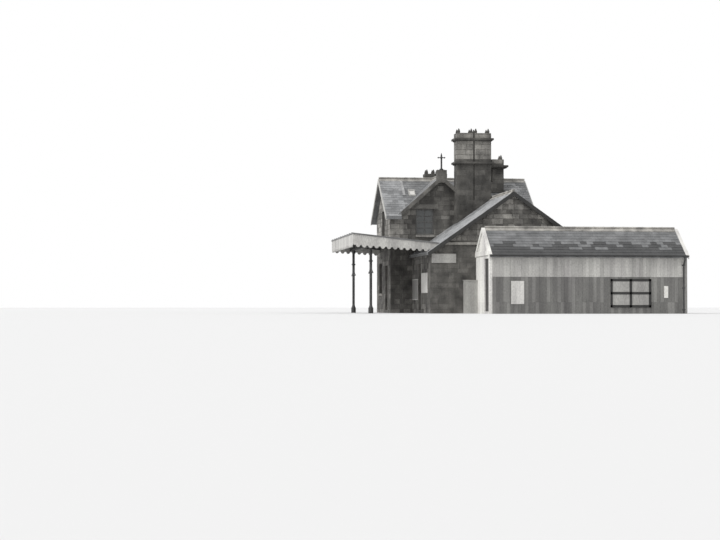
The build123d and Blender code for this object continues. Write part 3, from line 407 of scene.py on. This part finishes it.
def slates(node, name, faces_that_way, seed, finishes, choose_tint, foot_share=0.0):
    """Slates in half-lapped courses over one slope, each with its foot proud of the next.

    The first finish goes to a ragged share of the slope, up from its foot.
    """
    piece, outward, place = flat_side(node, name, faces_that_way)
    along = up.cross(outward).normalized()
    rise = outward.cross(along)
    low, high = reach(piece, rise)
    courses = ceil((high - low) / slate_gauge)
    levels = [low + (number + 1) * slate_gauge for number in range(courses)]
    start, end = reach(piece, along)
    count = ceil((end - start) / slate_width) + 1
    joints = [[start + (number + shift) * slate_width for number in range(count)]
              for shift in lap_shifts]
    cut_courses(piece, levels, rise, along, joints)
    thicken(piece, outward, place, slate_back)
    top = place + slate_back
    random = Random(seed)

    def choose(centre):
        share_up = (centre.dot(rise) - low) / (high - low)
        if share_up < foot_share * random.uniform(*damp_spread):
            return 0
        return choose_tint(centre, random)
    tint(piece, lambda face: True, choose)
    raise_blocks(piece, outward, top, slate_gap, slate_heights)
    raised = top + slate_heights[0] / 2

    def head_of_slate(point):
        past_foot = (point.dot(rise) - low) % slate_gauge
        return point.dot(outward) > raised and past_foot > slate_gauge - 2 * slate_gap
    bpy.ops.mesh.select_mode(type="VERT")
    pick_points(piece, head_of_slate)
    bpy.ops.transform.translate(value=outward * -slate_heights[0] * head_sunk)
    return finish(piece, finishes)


def boards(node, way, name, finishes, seed, levels):
    """Upright boards over one side of a timber wall, with level joints, and paler at the top."""
    piece, outward, place = flat_side(node, name, faces_along(way))
    along = up.cross(outward)
    low, high = reach(piece, along)
    count = floor((high - low) / board_width)
    joints = [low + (number + 1) * board_width for number in range(count)]
    cut_courses(piece, levels, up, along, [joints])
    thicken(piece, outward, place, board_back)
    random = Random(seed)
    tint(piece, lambda face: True,
         lambda centre: random.choice((2, 3, 3) if centre.z > levels[-1] else (0, 0, 1)))
    raise_blocks(piece, outward, place + board_back, board_gap, board_heights)
    return finish(piece, finishes)


# Finishes
def shader_of(name):
    """A new material, its node tree and its shader."""
    material = bpy.data.materials.new(name)
    material.use_nodes = True
    return material, material.node_tree, material.node_tree.nodes["Principled BSDF"]


def noise(tree, size, detail, stretch=(1, 1, 1)):
    """Noise on the object's own coordinates, with patches about one size in metres."""
    place = tree.nodes.new("ShaderNodeTexCoord")
    mapping = tree.nodes.new("ShaderNodeMapping")
    texture = tree.nodes.new("ShaderNodeTexNoise")
    mapping.inputs["Scale"].default_value = stretch
    texture.inputs["Scale"].default_value = 1 / size
    texture.inputs["Detail"].default_value = detail
    tree.links.new(place.outputs["Object"], mapping.inputs["Vector"])
    tree.links.new(mapping.outputs["Vector"], texture.inputs["Vector"])
    return texture.outputs["Fac"]


def ramp(tree, source, places, colours):
    """Two colours along a value, each from its own place."""
    node = tree.nodes.new("ShaderNodeValToRGB")
    tree.links.new(source, node.inputs["Fac"])
    for stop, place, colour in zip(node.color_ramp.elements, places, colours):
        stop.position = place
        stop.color = (*colour, 1)
    return node.outputs["Color"]


def multiply(tree, first, second, amount):
    """Two colours multiplied by an amount."""
    node = tree.nodes.new("ShaderNodeMix")
    node.data_type = "RGBA"
    node.blend_type = "MULTIPLY"
    node.inputs["Factor"].default_value = amount
    tree.links.new(first, node.inputs["A"])
    tree.links.new(second, node.inputs["B"])
    return node.outputs["Result"]


def grey(value):
    """A grey of one value."""
    return (value, value, value)


def shade(tone, red, green, blue):
    """A colour near a tone, by how much of it goes into each part."""
    return (tone * red, tone * green, tone * blue)


def bump(tree, shader, height, strength, depth):
    """Relief from a height pattern."""
    node = tree.nodes.new("ShaderNodeBump")
    node.inputs["Strength"].default_value = strength
    node.inputs["Distance"].default_value = depth
    tree.links.new(height, node.inputs["Height"])
    tree.links.new(node.outputs["Normal"], shader.inputs["Normal"])


def weathered(name, dark, light, patch, grain, roughness, relief, streak=0.0,
              stretch=(1, 1, 1), specular=0.5):
    """A mottled finish: patches between two colours, fine grain, and rain streaks.

    Patch and grain are sizes in metres, and the stretch makes a pattern longer along an axis.
    """
    material, tree, shader = shader_of(name)
    patches = noise(tree, patch, patch_detail, stretch)
    colour = ramp(tree, patches, patch_places, (dark, light))
    fine = noise(tree, grain, grain_detail, stretch)
    pits = ramp(tree, fine, grain_places, (grey(grain_shade), grey(1)))
    colour = multiply(tree, colour, pits, grain_amount)
    if streak:
        streaks = noise(tree, streak_size, streak_detail, streak_stretch)
        runs = ramp(tree, streaks, streak_places, (grey(streak_shade), grey(1)))
        colour = multiply(tree, colour, runs, streak)
    tree.links.new(colour, shader.inputs["Base Color"])
    spread = ramp(tree, fine, gloss_places,
                  (grey(min(1, roughness + duller)), grey(roughness - glossier)))
    tree.links.new(spread, shader.inputs["Roughness"])
    shader.inputs["Specular IOR Level"].default_value = specular
    bump(tree, shader, fine, relief, grain / 4)
    return material


def stone_finish(name, tone):
    """Sooty stone, about one tone."""
    return weathered(name, shade(tone, 0.55, 0.53, 0.50), shade(tone, 1.35, 1.30, 1.20),
                     patch=0.5, grain=0.035, roughness=0.85, relief=0.7, streak=0.45,
                     specular=0.3)


def slate_finish(name, tone, roughness=0.34, relief=0.3):
    """Old slate with a dull sheen."""
    return weathered(name, shade(tone, 0.75, 0.77, 0.79), shade(tone, 1.25, 1.26, 1.28),
                     patch=0.5, grain=0.03, roughness=roughness, relief=relief, streak=0.4,
                     stretch=(1, 1, 0.5))


def paint_finish(name, tone, warm=0.97):
    """Old oil paint on wood, with faint grain up and down."""
    return weathered(name, shade(tone, 0.72, 0.72 * warm, 0.70 * warm),
                     shade(tone, 1.08, 1.07, 1.04 * warm), patch=0.7, grain=0.02,
                     roughness=0.55, relief=0.25, streak=0.35, stretch=(1, 1, 0.25))


def iron_finish(name, tone):
    """Painted cast iron, slightly pitted."""
    return weathered(name, grey(tone * 0.7), grey(tone * 1.3), patch=0.2, grain=0.008,
                     roughness=0.45, relief=0.3)


def glass_finish():
    """Old window glass, faintly uneven."""
    material, tree, shader = shader_of("window_glass")
    shader.inputs["Base Color"].default_value = (0.16, 0.17, 0.17, 1)
    shader.inputs["Roughness"].default_value = 0.04
    shader.inputs["Transmission Weight"].default_value = 0.4
    shader.inputs["IOR"].default_value = 1.45
    shader.inputs["Specular IOR Level"].default_value = 0.6
    bump(tree, shader, noise(tree, size=0.8, detail=0), strength=0.03, depth=0.002)
    return material


# Small pieces, each begun as a block or a round bar
def start_block(name, low, high):
    """A block between two corners, open in edit mode."""
    bpy.ops.object.select_all(action="DESELECT")
    bpy.ops.mesh.primitive_cube_add(size=1, location=(0, 0, 0))
    piece = bpy.context.object
    piece.name = name
    open_piece(piece)
    bpy.ops.mesh.select_all(action="SELECT")
    size, middle = Vector(high) - Vector(low), (Vector(high) + Vector(low)) / 2
    bpy.ops.transform.resize(value=size)
    bpy.ops.transform.translate(value=middle)
    return piece


def start_ring(name, way, middle, radius, length):
    """A short round bar along X or Y, open in edit mode."""
    turn = (0, radians(90), 0) if way.x else (radians(90), 0, 0)
    bpy.ops.object.select_all(action="DESELECT")
    bpy.ops.mesh.primitive_cylinder_add(vertices=collar_sides, radius=radius, depth=length,
                                        location=middle, rotation=turn)
    piece = bpy.context.object
    piece.name = name
    bpy.ops.object.transform_apply(location=True, rotation=True, scale=True)
    open_piece(piece)
    bpy.ops.mesh.select_all(action="SELECT")
    return piece


def ease(width):
    """Take the sharpness off every edge of what is selected."""
    bpy.ops.mesh.bevel(offset=width, segments=1, affect="EDGES")


def repeat(step, count):
    """Copy what is open in edit mode along a step, so that there are count of it."""
    bpy.ops.mesh.select_all(action="SELECT")
    for _ in range(count - 1):
        bpy.ops.mesh.duplicate_move(TRANSFORM_OT_translate={"value": step})


def box_round(points):
    """The lowest and highest corners of the box round some points."""
    return (Vector([min(point[axis] for point in points) for axis in range(3)]),
            Vector([max(point[axis] for point in points) for axis in range(3)]))


def solids_of(node):
    """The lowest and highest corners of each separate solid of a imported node."""
    mesh = bmesh.new()
    mesh.from_mesh(nodes[node].data)
    bmesh.ops.remove_doubles(mesh, verts=mesh.verts, dist=merge_gap)
    left, boxes = set(mesh.verts), []
    while left:
        queue = [left.pop()]
        found = []
        while queue:
            point = queue.pop()
            found.append(point.co.copy())
            for edge in point.link_edges:
                other = edge.other_vert(point)
                if other in left:
                    left.remove(other)
                    queue.append(other)
        boxes.append(box_round(found))
    mesh.free()
    return sorted(boxes, key=lambda box: tuple(round(value, 3) for value in box[0]))


def facing(box, building):
    """Which way an opening's frame faces: out of the building through its thin side."""
    low, high = box
    middle, centre = (low + high) / 2, (Vector(building[0]) + Vector(building[1])) / 2
    if high.x - low.x < high.y - low.y:
        return to_back if middle.x > centre.x else to_front
    return to_far if middle.y > centre.y else to_near


def glazing_bars(node, building, name):
    """An upright bar and two cross bars on every window, outside the glass."""
    bars = []
    for number, (low, high) in enumerate(solids_of(node)):
        out = facing((low, high), building)
        along = up.cross(out)
        middle = (low + high) / 2 + out * glazing_bar_out
        width = abs((high - low).dot(along)) - 2 * frame_face
        height = high.z - low.z - 2 * frame_face
        for place, across, tall in ((middle, glazing_bar, height),
                                    (middle + up * height / 4, width, glazing_bar),
                                    (middle - up * height / 4, width, glazing_bar)):
            spread = along * across / 2 + out * glazing_bar_depth / 2 + up * tall / 2
            spread = Vector([abs(value) for value in spread])
            bar = start_block(f"{name}_{number}_{len(bars)}", place - spread, place + spread)
            ease(glazing_bar / 5)
            close_piece()
            bars.append(bar)
    return join(bars, name, window_paint)


def join(pieces, name, material):
    """Join small pieces into one and finish it."""
    bpy.ops.object.select_all(action="DESELECT")
    for piece in pieces:
        piece.select_set(True)
    bpy.context.view_layer.objects.active = pieces[0]
    bpy.ops.object.join()
    piece = bpy.context.object
    piece.name = name
    piece.data.materials.clear()
    return give_finishes(piece, [material])


def lintels(openings, building, name):
    """A dressed stone over every opening, a little proud of the wall."""
    made = []
    for number, (low, high) in enumerate(openings):
        out = facing((low, high), building)
        along = up.cross(out)
        spread = Vector([abs(value) for value in along * lintel_bearing])
        face = reveal + lintel_proud
        start = Vector((low.x, low.y, high.z)) - spread
        end = Vector((high.x, high.y, high.z + lintel_height)) + spread
        for axis in (0, 1):
            if out[axis] < 0:
                end[axis] = low[axis] - reveal + lintel_sunk
                start[axis] = low[axis] - face
            if out[axis] > 0:
                start[axis] = high[axis] + reveal - lintel_sunk
                end[axis] = high[axis] + face
        stone = start_block(f"{name}_{number}", start, end)
        ease(lintel_proud / 2)
        close_piece()
        made.append(stone)
    return join(made, name, wall_stones[2])


def middle_of(node, axis):
    """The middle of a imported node's box along one axis."""
    low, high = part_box(node)
    return (low[axis] + high[axis]) / 2


def ridge_collars(node, way, across, name):
    """Collars where the ridge tiles meet, round the roll on top of them.

    The roll runs along one way, and its middle is at one place across that way.
    """
    low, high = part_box(node)
    axis = 0 if way.x else 1
    count = int((high[axis] - low[axis]) / collar_spacing)
    first = Vector((0, 0, high[2] - ridge_roll))
    first[axis] = low[axis] + collar_spacing
    first[1 - axis] = across
    piece = start_ring(name, way, first, ridge_roll + collar_proud, collar_length)
    ease(collar_proud / 2)
    repeat(way * collar_spacing, count - 1)
    return finish(piece, [finish_by_slot["ridge_stone"]])


def pipe_straps(pipe, name):
    """Straps that hold an upright pipe, each with an ear on either side."""
    (x0, y0, _), (x1, _, _) = pipe
    straps = []
    for level in strap_levels:
        strap = start_block(f"{name}_{level}",
                            (x0 - ear_reach, y0 + strap_back - strap_sunk, level),
                            (x1 + ear_reach, y0 + strap_back + strap_thick, level + strap_height))
        ease(strap_thick / 4)
        close_piece()
        straps.append(strap)
    return join(straps, name, finish_by_slot["dark_iron"])


def framed_board(box, name, columns, rows):
    """A dark frame on the near side of a board, with bars between its fields."""
    low, high = box
    places = []
    for number in range(columns + 1):
        left = low.x + number * (high.x - low.x - frame_bar) / columns
        places.append(((left, low.z), (left + frame_bar, high.z)))
    for number in range(rows + 1):
        bottom = low.z + number * (high.z - low.z - frame_bar) / rows
        places.append(((low.x, bottom), (high.x, bottom + frame_bar)))
    bars = []
    for number, ((x0, z0), (x1, z1)) in enumerate(places):
        bar = start_block(f"{name}_{number}", (x0, low.y - frame_proud, z0),
                          (x1, low.y + frame_proud, z1))
        ease(frame_proud / 3)
        close_piece()
        bars.append(bar)
    return join(bars, name, finish_by_slot["dark_paint"])


def board_face(box, name, tone):
    """A plain painted field on a wall board's outer side, inside a narrow edge."""
    low, high = box
    thin = min(range(3), key=lambda axis: high[axis] - low[axis])
    edge = Vector((field_edge, field_edge, field_edge))
    start, end = low + edge, high - edge
    start[thin], end[thin] = low[thin] - field_proud, low[thin] + field_proud
    face = start_block(name, start, end)
    ease(field_proud / 2)
    return finish(face, [paint_finish(f"{name}_paint", tone)])


def door_panels(box, out, name):
    """Mouldings round two panels, on the outer side of a door."""
    low, high = box
    along = up.cross(out)
    side = 0 if out.x else 1
    face = high[side] if out[side] > 0 else low[side]
    across = abs((high - low).dot(along))
    middle = (low + high) / 2
    half = across / 2 - moulding_margin
    pieces = []
    for bottom, top in panel_shares:
        z0 = low.z + bottom * (high.z - low.z)
        z1 = low.z + top * (high.z - low.z)
        strips = (((-half, z0), (half, z0 + moulding)), ((-half, z1 - moulding), (half, z1)),
                  ((-half, z0), (-half + moulding, z1)), ((half - moulding, z0), (half, z1)))
        for start, end in strips:
            corners = []
            for (place, level), depth in ((start, -moulding / 2), (end, moulding / 2)):
                corner = middle + along * place
                corner[side] = face + depth
                corner.z = level
                corners.append(corner)
            bar = start_block(f"{name}_{len(pieces)}", *box_round(corners))
            ease(moulding / 5)
            close_piece()
            pieces.append(bar)
    return join(pieces, name, finish_by_slot["door_paint"])


def gutter_brackets(gutter, way, name):
    """Brackets under a gutter, at even steps."""
    low, high = Vector(gutter[0]), Vector(gutter[1])
    axis = 0 if way.x else 1
    low[1 - axis] += bracket_inset
    high[1 - axis] -= bracket_inset
    low[axis] += bracket_step / 2
    count = int((high[axis] - low[axis]) / bracket_step) + 1
    high[axis] = low[axis] + bracket_width
    low.z -= bracket_drop
    high.z = low.z + bracket_drop * 2
    piece = start_block(name, low, high)
    ease(bracket_drop / 4)
    repeat(way * bracket_step, count)
    return finish(piece, [finish_by_slot["dark_iron"]])


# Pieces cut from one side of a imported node
def roof_pane():
    """Bright obscured glass in the roof light."""
    piece, outward, place = flat_side("window_glass", "roof_light_pane", slopes_towards(to_near))
    thicken(piece, outward, place, pane_back)
    pick_faces(piece, lambda face: face.normal.dot(outward) > same_way)
    bpy.ops.mesh.inset(thickness=pane_edge, depth=pane_proud)
    return finish(piece, [paint_finish("bright_obscured_glass", 0.9)])


def lead_strip():
    """A strip of lead that runs down from the ridge on the near slope."""
    piece, outward, place = flat_side("house_near_roof", "lead_strip", slopes_up)
    strip_foot = reach(piece, to_far)[1] - strip_length
    for across, limit, keep_above in ((to_back, strip_x, True),
                                      (to_back, strip_x + strip_width, False),
                                      (to_far, strip_foot, True)):
        bpy.ops.mesh.select_all(action="SELECT")
        bpy.ops.mesh.bisect(plane_co=across * limit, plane_no=across, clear_inner=keep_above,
                            clear_outer=not keep_above)
    bpy.ops.mesh.select_all(action="SELECT")
    bpy.ops.mesh.dissolve_limited(angle_limit=flat_turn)
    thicken(piece, outward, place, strip_thick)
    return finish(piece, [lead])


def deck_rolls():
    """Raised rolls down the canopy's deck, cut from the deck itself."""
    piece, outward, place = flat_side("canopy_roof", "canopy_deck_rolls", slopes_up)
    low, high = reach(piece, to_far)
    count = round((high - low) / roll_step)
    middles = [low + (number + 0.5) * (high - low) / count for number in range(count)]
    for middle in middles:
        cut(piece, middle - roll_width / 2, to_far)
        cut(piece, middle + roll_width / 2, to_far)

    def between_rolls(face):
        return all(abs(face.calc_center_median().y - middle) > roll_width / 2 for middle in middles)
    bpy.ops.mesh.select_mode(type="FACE")
    pick_faces(piece, between_rolls)
    bpy.ops.mesh.delete(type="FACE")
    bpy.ops.mesh.select_mode(type="EDGE")
    bpy.ops.mesh.select_all(action="SELECT")
    bpy.ops.mesh.dissolve_limited(angle_limit=flat_turn)
    thicken(piece, outward, place, roll_height)
    pick_faces(piece, lambda face: face.normal.dot(outward) > same_way)
    bpy.ops.mesh.inset(thickness=roll_width / 4, depth=roll_height / 2, use_individual=True,
                       use_even_offset=False)
    return finish(piece, [finish_by_slot["roof_boards"]])


# Which finish a stone or slate gets, by its place and by chance
def wall_tint(centre, random):
    """Middling and dark stones, with a few pale ones."""
    return random.choice((0, 0, 1, 1, 1, 2))


def near_wall_tint(centre, random):
    """As the other walls, and painted paler above the canopy by the front corner: painted light
    where the wall is lit.
    """
    # painted light: pale stones where the wall stands lit above the canopy's shade
    if centre.x < painted_light_corner_x and centre.z > painted_light_corner_z:
        return random.choice((2, 3, 3))
    return wall_tint(centre, random)


def wing_gable_tint(centre, random):
    """Dark stones below the string course, paler ones above, and the palest at the top."""
    if centre.z > palest_gable_z:
        return random.choice((2, 3, 3))
    if centre.z > string_course_z:
        return random.choice((1, 2, 2, 3))
    return random.choice((0, 0, 0, 1))


def stack_tint(centre, random):
    """Black stones low down, and paler ones above the lower band."""
    if centre.z < soot_line:
        return random.choice((0, 0, 1))
    return random.choice((2, 2, 3))


def roof_tint(centre, random):
    """Middling slates, with some dark and pale ones."""
    return random.choice((0, 1, 1, 2))


def shed_roof_tint(centre, random):
    """Slates much alike, above the damp ones at the foot."""
    return random.choice((1, 1, 2))


def near_roof_tint(centre, random):
    """Pale slates in front of the lead strip, dark ones up to the stacks, middling ones behind."""
    if centre.x < strip_x:
        return random.choice((1, 2, 2))
    return random.choice((0, 0, 1) if centre.x < stacks_end_x else (1, 1, 2))


def wing_slope_tint(centre, random):
    """Slates painted brightest at the verge and duller towards the house: a painted sheen of the
    white sky.
    """
    return random.choice((2, 2, 1) if centre.y < sheen_verge_y else (0, 0, 1))


# The view
def add_camera():
    """The photograph's view, from far off and low down."""
    bpy.ops.object.camera_add(location=eye,
                              rotation=(radians(90 + camera_tilt), 0, radians(camera_turn)))
    camera = bpy.context.object
    camera.name = "station_camera"
    camera.data.lens = lens
    camera.data.sensor_width = sensor_width
    camera.data.clip_end = farthest_seen
    bpy.context.scene.camera = camera


def add_floor():
    """A wide plain floor at the foot of the walls."""
    bpy.ops.mesh.primitive_plane_add(size=floor_size, location=(0, 0, 0))
    floor_piece = bpy.context.object
    floor_piece.name = "floor"
    material, _, shader = shader_of("pale_floor")
    shader.inputs["Base Color"].default_value = (*grey(floor_grey), 1)
    shader.inputs["Roughness"].default_value = floor_roughness
    floor_piece.data.materials.append(material)


def add_light():
    """A white sky, plain to the eye and in gloss, with one soft sun."""
    world = bpy.data.worlds.new("soft_sky")
    bpy.context.scene.world = world
    world.use_nodes = True
    tree = world.node_tree
    background = tree.nodes["Background"]
    background.inputs["Color"].default_value = (1, 1, 1, 1)
    rays = tree.nodes.new("ShaderNodeLightPath")
    seen = rays.outputs["Is Camera Ray"]
    for ray in ("Is Glossy Ray", "Is Transmission Ray"):
        either = tree.nodes.new("ShaderNodeMath")
        either.operation = "MAXIMUM"
        tree.links.new(seen, either.inputs[0])
        tree.links.new(rays.outputs[ray], either.inputs[1])
        seen = either.outputs["Value"]
    strength = tree.nodes.new("ShaderNodeMapRange")
    strength.inputs["To Min"].default_value = sky_strength
    strength.inputs["To Max"].default_value = 1.0
    tree.links.new(seen, strength.inputs["Value"])
    tree.links.new(strength.outputs["Result"], background.inputs["Strength"])
    bpy.ops.object.light_add(type="SUN", rotation=tuple(radians(turn) for turn in sun_turn))
    sun = bpy.context.object
    sun.name = "soft_sun"
    sun.data.energy = sun_strength
    sun.data.angle = radians(sun_angle)


bpy.context.scene.view_settings.view_transform = "Standard"
add_camera()
add_floor()
add_light()

# Finishes by name
# The palest wall stone also gives the painted light at the house's front corner above the canopy.
wall_stones = [stone_finish("dark_wall_stone", 0.130), stone_finish("wall_stone", 0.160),
               stone_finish("pale_wall_stone", 0.230), stone_finish("palest_wall_stone", 0.380)]
mortar = stone_finish("mortar", 0.115)
stack_stones = [stone_finish("sooty_stack_stone", 0.105), stone_finish("dark_stack_stone", 0.135),
                stone_finish("stack_stone", 0.245), stone_finish("pale_stack_stone", 0.300)]
slate_tints = [slate_finish("dark_slate", 0.165), slate_finish("slate", 0.215),
               slate_finish("pale_slate", 0.320)]
# The wing's front slope: slates painted paler as a painted sheen of the sky at a grazing view, not
# their own tone.
sheen_painted_slate_tints = [slate_finish(name, tone, roughness=0.30, relief=0.2) for name, tone in (
    ("sheen_painted_slate", 0.320), ("brighter_sheen_painted_slate", 0.500), ("brightest_sheen_painted_slate", 0.580))]
shed_slate_tints = [slate_finish("damp_slate", 0.050), slate_finish("low_roof_slate", 0.165),
                    slate_finish("pale_low_roof_slate", 0.195)]
window_paint = paint_finish("old_window_paint", 0.20)
lead = weathered("lead", grey(0.30), grey(0.50), patch=0.3, grain=0.01, roughness=0.45,
                 relief=0.2)
shed_board_tints = [paint_finish("dark_shed_board", 0.20), paint_finish("shed_board", 0.27),
                    paint_finish("pale_shed_board", 0.52), paint_finish("bright_shed_board", 0.62)]
white_board_tints = [paint_finish("white_board", 0.88), paint_finish("clean_white_board", 0.90),
                     paint_finish("bright_white_board", 0.94),
                     paint_finish("brightest_white_board", 0.95)]
finish_by_slot = {
    "stone": wall_stones[1],
    "stack_stone": stack_stones[0],
    "paving_stone": stone_finish("paving_stone", 0.30),
    "ridge_stone": stone_finish("ridge_stone", 0.42),
    "slate": slate_tints[1],
    "floor_boards": paint_finish("floor_boards", 0.22, warm=0.8),
    "roof_boards": weathered("deck_sheet", grey(0.10), grey(0.20), patch=0.6, grain=0.02,
                             roughness=0.5, relief=0.2),
    "pale_paint": paint_finish("pale_paint", 0.56),
    "dark_paint": paint_finish("dark_paint", 0.035),
    "door_paint": paint_finish("door_paint", 0.06, warm=0.85),
    "shed_boards": paint_finish("store_board", 0.45),
    "white_boards": white_board_tints[1],
    "board_paint": paint_finish("board_paint", 0.88),
    "black_iron": iron_finish("black_iron", 0.03),
    "dark_iron": iron_finish("dark_iron", 0.045),
    "window_glass": glass_finish(),
}
own_finishes = {
    "house_windows": window_paint,
    "wing_windows": window_paint,
    "shed_bargeboards": white_board_tints[2],
    "shed_door": paint_finish("grey_door_paint", 0.10),
    "wing_string_course": wall_stones[3],
    "name_board": paint_finish("grey_board_paint", 0.50),
    "canopy_fascia": paint_finish("white_canopy_fascia", 0.60),
    "canopy_valance": paint_finish("white_canopy_valance", 0.60),
}
slots = {row["node"]: row["material_slot"] for row in frame["record"]["subparts"]}
for node, piece in nodes.items():
    piece.data.materials.clear()
    piece.data.materials.append(own_finishes.get(node, finish_by_slot[slots[node]]))

# Stones, slates and boards
tints_by_wall = {"house_near_wall": near_wall_tint, "house_platform_wall": near_wall_tint,
                 "wing_gable_wall": wing_gable_tint}
stone_sides = {
    "house_near_wall": (to_near,),
    "house_far_wall": (to_far,),
    "house_platform_wall": (to_front, to_near, to_far),
    "house_back_wall": (to_back, to_near, to_far),
    "wing_gable_wall": (to_near, to_front, to_back),
    "wing_platform_wall": (to_front,),
    "wing_back_wall": (to_back, to_far),
}
side_names = {tuple(to_front): "track", tuple(to_back): "back",
              tuple(to_near): "near", tuple(to_far): "far"}
for node, ways in stone_sides.items():
    for way in ways:
        name = f"{node}_{side_names[tuple(way)]}_stones"
        stones(node, way, name, wall_stones + [mortar],
               tints_by_wall.get(node, wall_tint), name)
for node in ("tall_stack", "right_stack", "left_stack"):
    for way in (to_front, to_back, to_near, to_far):
        name = f"{node}_{side_names[tuple(way)]}_stones"
        stones(node, way, name, stack_stones + [mortar], stack_tint, name)

for node, tints, choose_tint in (("house_near_roof", slate_tints, near_roof_tint),
                                 ("house_far_roof", slate_tints, roof_tint),
                                 ("wing_platform_roof", sheen_painted_slate_tints, wing_slope_tint),
                                 ("wing_back_roof", slate_tints, roof_tint)):
    slates(node, f"{node}_slates", slopes_up, node, tints, choose_tint)
for side, way in (("left", to_front), ("right", to_back)):
    slates("cross_gable_roof", f"cross_gable_{side}_slates", slopes_towards(way), side,
           slate_tints, roof_tint)
for node in ("shed_front_roof", "shed_back_roof"):
    slates(node, f"{node}_slates", slopes_up, node, shed_slate_tints, shed_roof_tint, damp_share)

boards("shed_front_wall", to_near, "shed_front_boards", shed_board_tints,
       "front", side_levels)
boards("shed_platform_end", to_front, "shed_end_boards", white_board_tints,
       "end", end_levels)
boards("shed_far_end", to_back, "shed_far_boards", shed_board_tints,
       "far", side_levels)

# Windows, doors and ridges
house_box = (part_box("house_platform_wall")[0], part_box("house_back_wall")[1])
wing_box = (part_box("wing_platform_wall")[0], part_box("wing_back_wall")[1])
glazing_bars("house_windows", house_box, "house_glazing_bars")
glazing_bars("wing_windows", wing_box, "wing_glazing_bars")
lintels(solids_of("house_windows"), house_box, "house_lintels")
lintels(solids_of("wing_windows"), wing_box, "wing_lintels")
lintels(solids_of("door_frames")[:1], house_box, "house_door_lintel")
lintels(solids_of("door_frames")[1:], wing_box, "wing_door_lintels")

house_ridge_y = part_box("house_near_roof")[1][1]
ridge_collars("house_ridge_tiles", to_back, house_ridge_y, "house_ridge_collars")
ridge_collars("wing_ridge_tiles", to_far, middle_of("wing_ridge_tiles", 0),
              "wing_ridge_collars")
ridge_collars("shed_ridge_tiles", to_back, middle_of("shed_ridge_tiles", 1),
              "shed_ridge_collars")

# Roof light, lead strip, deck, wall boards, doors and ironwork
roof_pane()
lead_strip()
deck_rolls()
wall_boards = solids_of("notice_boards")
board_face(wall_boards[0], "near_wall_board_face", 0.96)
board_face(wall_boards[1], "far_wall_board_face", 0.36)
double_board = max(wall_boards, key=lambda box: box[1].x - box[0].x)
board_face(double_board, "double_board_face", 0.48)
framed_board(double_board, "double_board_frame", columns=2, rows=2)
door_ways = (to_front, to_front, to_back)
for number, (box, way) in enumerate(zip(solids_of("panelled_doors"), door_ways)):
    door_panels(box, way, f"door_mouldings_{number}")
door_panels(solids_of("shed_door")[0], to_front, "shed_door_mouldings")
gutter_ways = (to_back, to_back, to_far)
for number, (gutter, way) in enumerate(zip(solids_of("gutters"), gutter_ways)):
    gutter_brackets(gutter, way, f"gutter_brackets_{number}")
pipe_straps(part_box("downpipes"), "downpipe_collars")
